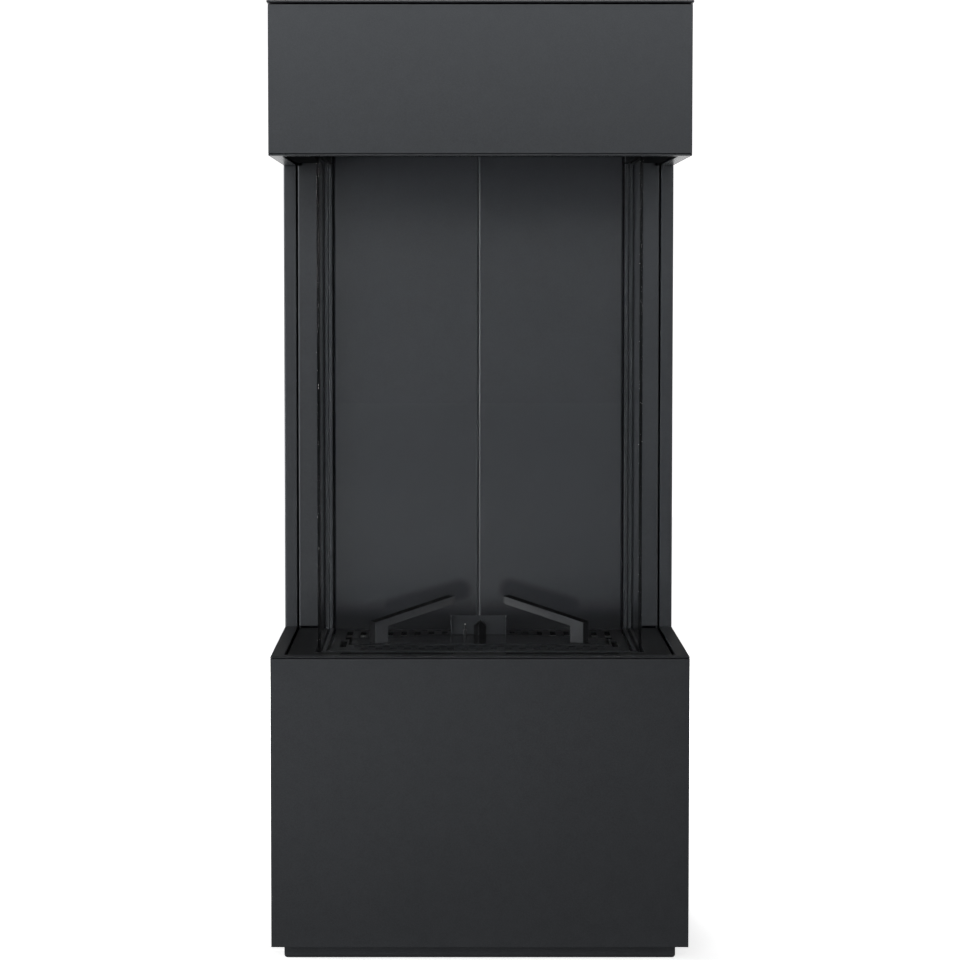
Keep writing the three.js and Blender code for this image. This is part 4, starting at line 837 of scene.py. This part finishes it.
burner_nut = nut(across_flats=15, bore=4.9, height=10)
pilot_nut = nut(across_flats=10, bore=2.5, height=8)
feed_nut = nut(across_flats=18, bore=6.2, height=9)
set_out("burner_pipe_nut", burner_nut, [at(*BURNER_PIPE_END)], "casing", "brass")
set_out("pilot_pipe_nut", pilot_nut, [at(*PILOT_PIPE_END)], "casing", "brass")
set_out("feed_pipe_nuts", feed_nut, [at(*FEED_AT_VALVE), at(*FEED_AT_COCK)], "casing", "brass")

# %% [markdown]
# ## Electrode wire
# The spark jumps from a bare wire that stands out of the glazed stem, and it is the one bright point beside
# the pilot. It is two millimetres thick with a rounded end, so its profile closes in to nearly nothing.

# %% Electrode wire
WIRE_PROFILE = [(0.02, 0), (1.0, 0), (1.0, 3.2), (0.8, 3.8), (0.4, 4.2), (0.02, 4.3)]
WIRE_SUNK = 2.4
WIRE_STEEL = (0.75, 0.74, 0.70)

electrode_low, electrode_high = (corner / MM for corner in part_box("ignition_electrode"))
wire_x, wire_y = ((electrode_low + electrode_high) / 2)[:2]
wire_place = at(wire_x, wire_y, electrode_high.z - WIRE_SUNK)
bright_wire = metal("electrode_wire_steel", WIRE_STEEL, 0.3, cells=900, depth_mm=0.01)
set_out("electrode_wire", turned(WIRE_PROFILE, steps=16), [wire_place], "casing", "zinc_steel", bright_wire)

# %% [markdown]
# ## Studio lights
# The photograph is a product shot on pure white. Its wide soft boxes stand far in front, the larger one to
# the left, low enough to reach in under the hood, and they leave the middle dark, so the front pane mirrors
# nothing bright. A high box evens out the hood, and a low strip fills the base. A box at each side draws
# the bright lines along the folds. The rear box is narrow and stands right behind the column, which hides
# it from the level faces in front: a wide one would be mirrored in them and turn them grey.

# %% Soft boxes
AIM = Vector((0, 0, 0.8))


def soft_box(name, place, size, watts):
    light = bpy.data.lights.new(name, "AREA")
    light.shape = "RECTANGLE"
    light.size = size[0]
    light.size_y = size[1]
    light.energy = watts
    box = bpy.data.objects.new(name, light)
    box.location = place
    box.rotation_euler = (AIM - Vector(place)).to_track_quat("-Z", "Y").to_euler()
    box.visible_camera = False
    bpy.context.scene.collection.objects.link(box)


soft_box("key_box", place=(-4.3, -9.0, 2.2), size=(4.4, 2.8), watts=150)
soft_box("fill_box", place=(4.2, -9.0, 2.1), size=(3.6, 2.6), watts=60)
soft_box("high_box", place=(0, -3.6, 2.35), size=(3.4, 0.8), watts=38)
soft_box("low_strip", place=(-0.7, -2.0, 0.12), size=(2.2, 0.18), watts=2.6)
soft_box("left_box", place=(-3.2, -0.6, 0.85), size=(1.3, 1.5), watts=88)
soft_box("right_box", place=(3.2, -0.6, 0.85), size=(1.3, 1.5), watts=22)
soft_box("rear_box", place=(0, 3.2, 1.5), size=(0.5, 2.2), watts=80)

# %% [markdown]
# ## White room
# More light on the fire would whiten the background, and wash the paint out with it. So the room is white
# only for rays that the camera sends, straight or through clear glass. Bounced light sees a dim room.

# %% World
DIM_ROOM = (0.06, 0.06, 0.062, 1)
WHITE = (1, 1, 1, 1)
HALF_A_BOUNCE = 0.5


def first_sight(tree):
    path = add(tree, "ShaderNodeLightPath")
    bounced = sum_of(tree, "ADD", path.outputs["Diffuse Depth"], path.outputs["Glossy Depth"])
    fresh = sum_of(tree, "LESS_THAN", bounced, HALF_A_BOUNCE)
    through_glass = sum_of(tree, "MULTIPLY", path.outputs["Is Transmission Ray"], fresh)
    seen = sum_of(tree, "MAXIMUM", path.outputs["Is Camera Ray"], through_glass)
    return seen, path.outputs["Is Glossy Ray"]


world = bpy.data.worlds.new("studio")
bpy.context.scene.world = world
world.use_nodes = True
seen = first_sight(world.node_tree)[0]
sky = mix_colour(world.node_tree, seen, DIM_ROOM, WHITE)
world.node_tree.links.new(sky, world.node_tree.nodes["Background"].inputs["Color"])
print("world:", world.name)

# %% [markdown]
# ## Floor and backdrop
# Two wide matt sheets close the room. A lamp bright enough to whiten them would spoil the fire's shadow, so
# they glow by themselves, and only where the camera sees them. Near the fire the floor glows a little less,
# so its shadow stays. Mirrored rays see one bright card, low and straight behind the fire, which lights the
# hood's underside.

# %% Floor and backdrop
STAGE_HALF = 20
BACKDROP_Y = 8
BOUNCED_TONE = 0.25
SEEN_TONE = 0.7
CHALKY = 0.9
GLOW_RISE = (0.5, 2.2)
CARD_GLOW = 0.95
CARD_DEPTH_FADE = (-0.4, 0.4)
CARD_SIDE_FADE = (1.1, 1.8)
CARD_TOP_FADE = (0.9, 1.15)
ABOVE_CARD = 0.05
FLOOR_GLOW = 0.75


def stage_finish(name, near_glow):
    material, tree, shader = new_finish(name)
    shader.inputs["Roughness"].default_value = CHALKY
    shader.inputs["Specular IOR Level"].default_value = 0
    shader.inputs["Emission Color"].default_value = WHITE
    seen, mirrored = first_sight(tree)
    tone = mix_colour(tree, seen, shade(WHITE, BOUNCED_TONE), shade(WHITE, SEEN_TONE))
    tree.links.new(tone, shader.inputs["Base Color"])
    place = place_on(tree)
    distance = add(tree, "ShaderNodeVectorMath", operation="LENGTH")
    tree.links.new(place, distance.inputs[0])
    seen_glow = spread(tree, distance.outputs["Value"], near_glow, 1, *GLOW_RISE)
    where = axes_of(tree, place)
    behind = spread(tree, where["Y"], 0, CARD_GLOW, *CARD_DEPTH_FADE)
    in_width = spread(tree, sum_of(tree, "ABSOLUTE", where["X"], 0.0), 1, 0, *CARD_SIDE_FADE)
    in_height = spread(tree, where["Z"], 1, ABOVE_CARD, *CARD_TOP_FADE)
    card = sum_of(tree, "MULTIPLY", sum_of(tree, "MULTIPLY", behind, in_width), in_height)
    strength = sum_of(tree, "ADD", sum_of(tree, "MULTIPLY", seen, seen_glow),
                      sum_of(tree, "MULTIPLY", mirrored, card))
    tree.links.new(strength, shader.inputs["Emission Strength"])
    return material


def stage_sheet(name, matrix, material):
    bm = bmesh.new()
    bmesh.ops.create_grid(bm, x_segments=1, y_segments=1, size=STAGE_HALF)
    bmesh.ops.transform(bm, matrix=matrix, verts=bm.verts)
    sheet = finish_object(name, bm)
    sheet.data.materials.append(material)
    sheet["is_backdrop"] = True


stage_sheet("floor", Matrix.Identity(4), stage_finish("pale_floor", near_glow=FLOOR_GLOW))
upright = Matrix.Translation((0, BACKDROP_Y, STAGE_HALF)) @ Matrix.Rotation(math.pi / 2, 4, "X")
stage_sheet("backdrop", upright, stage_finish("pale_backdrop", near_glow=1))
print("stage: floor and backdrop")

# %% [markdown]
# ## Measure and finish
# The dressed fire must stay inside the frame's box, so the box of what is shown is printed.

# %% Sizes
low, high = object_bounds()
print("visual box", [round(value, 4) for value in (*low, *high)])
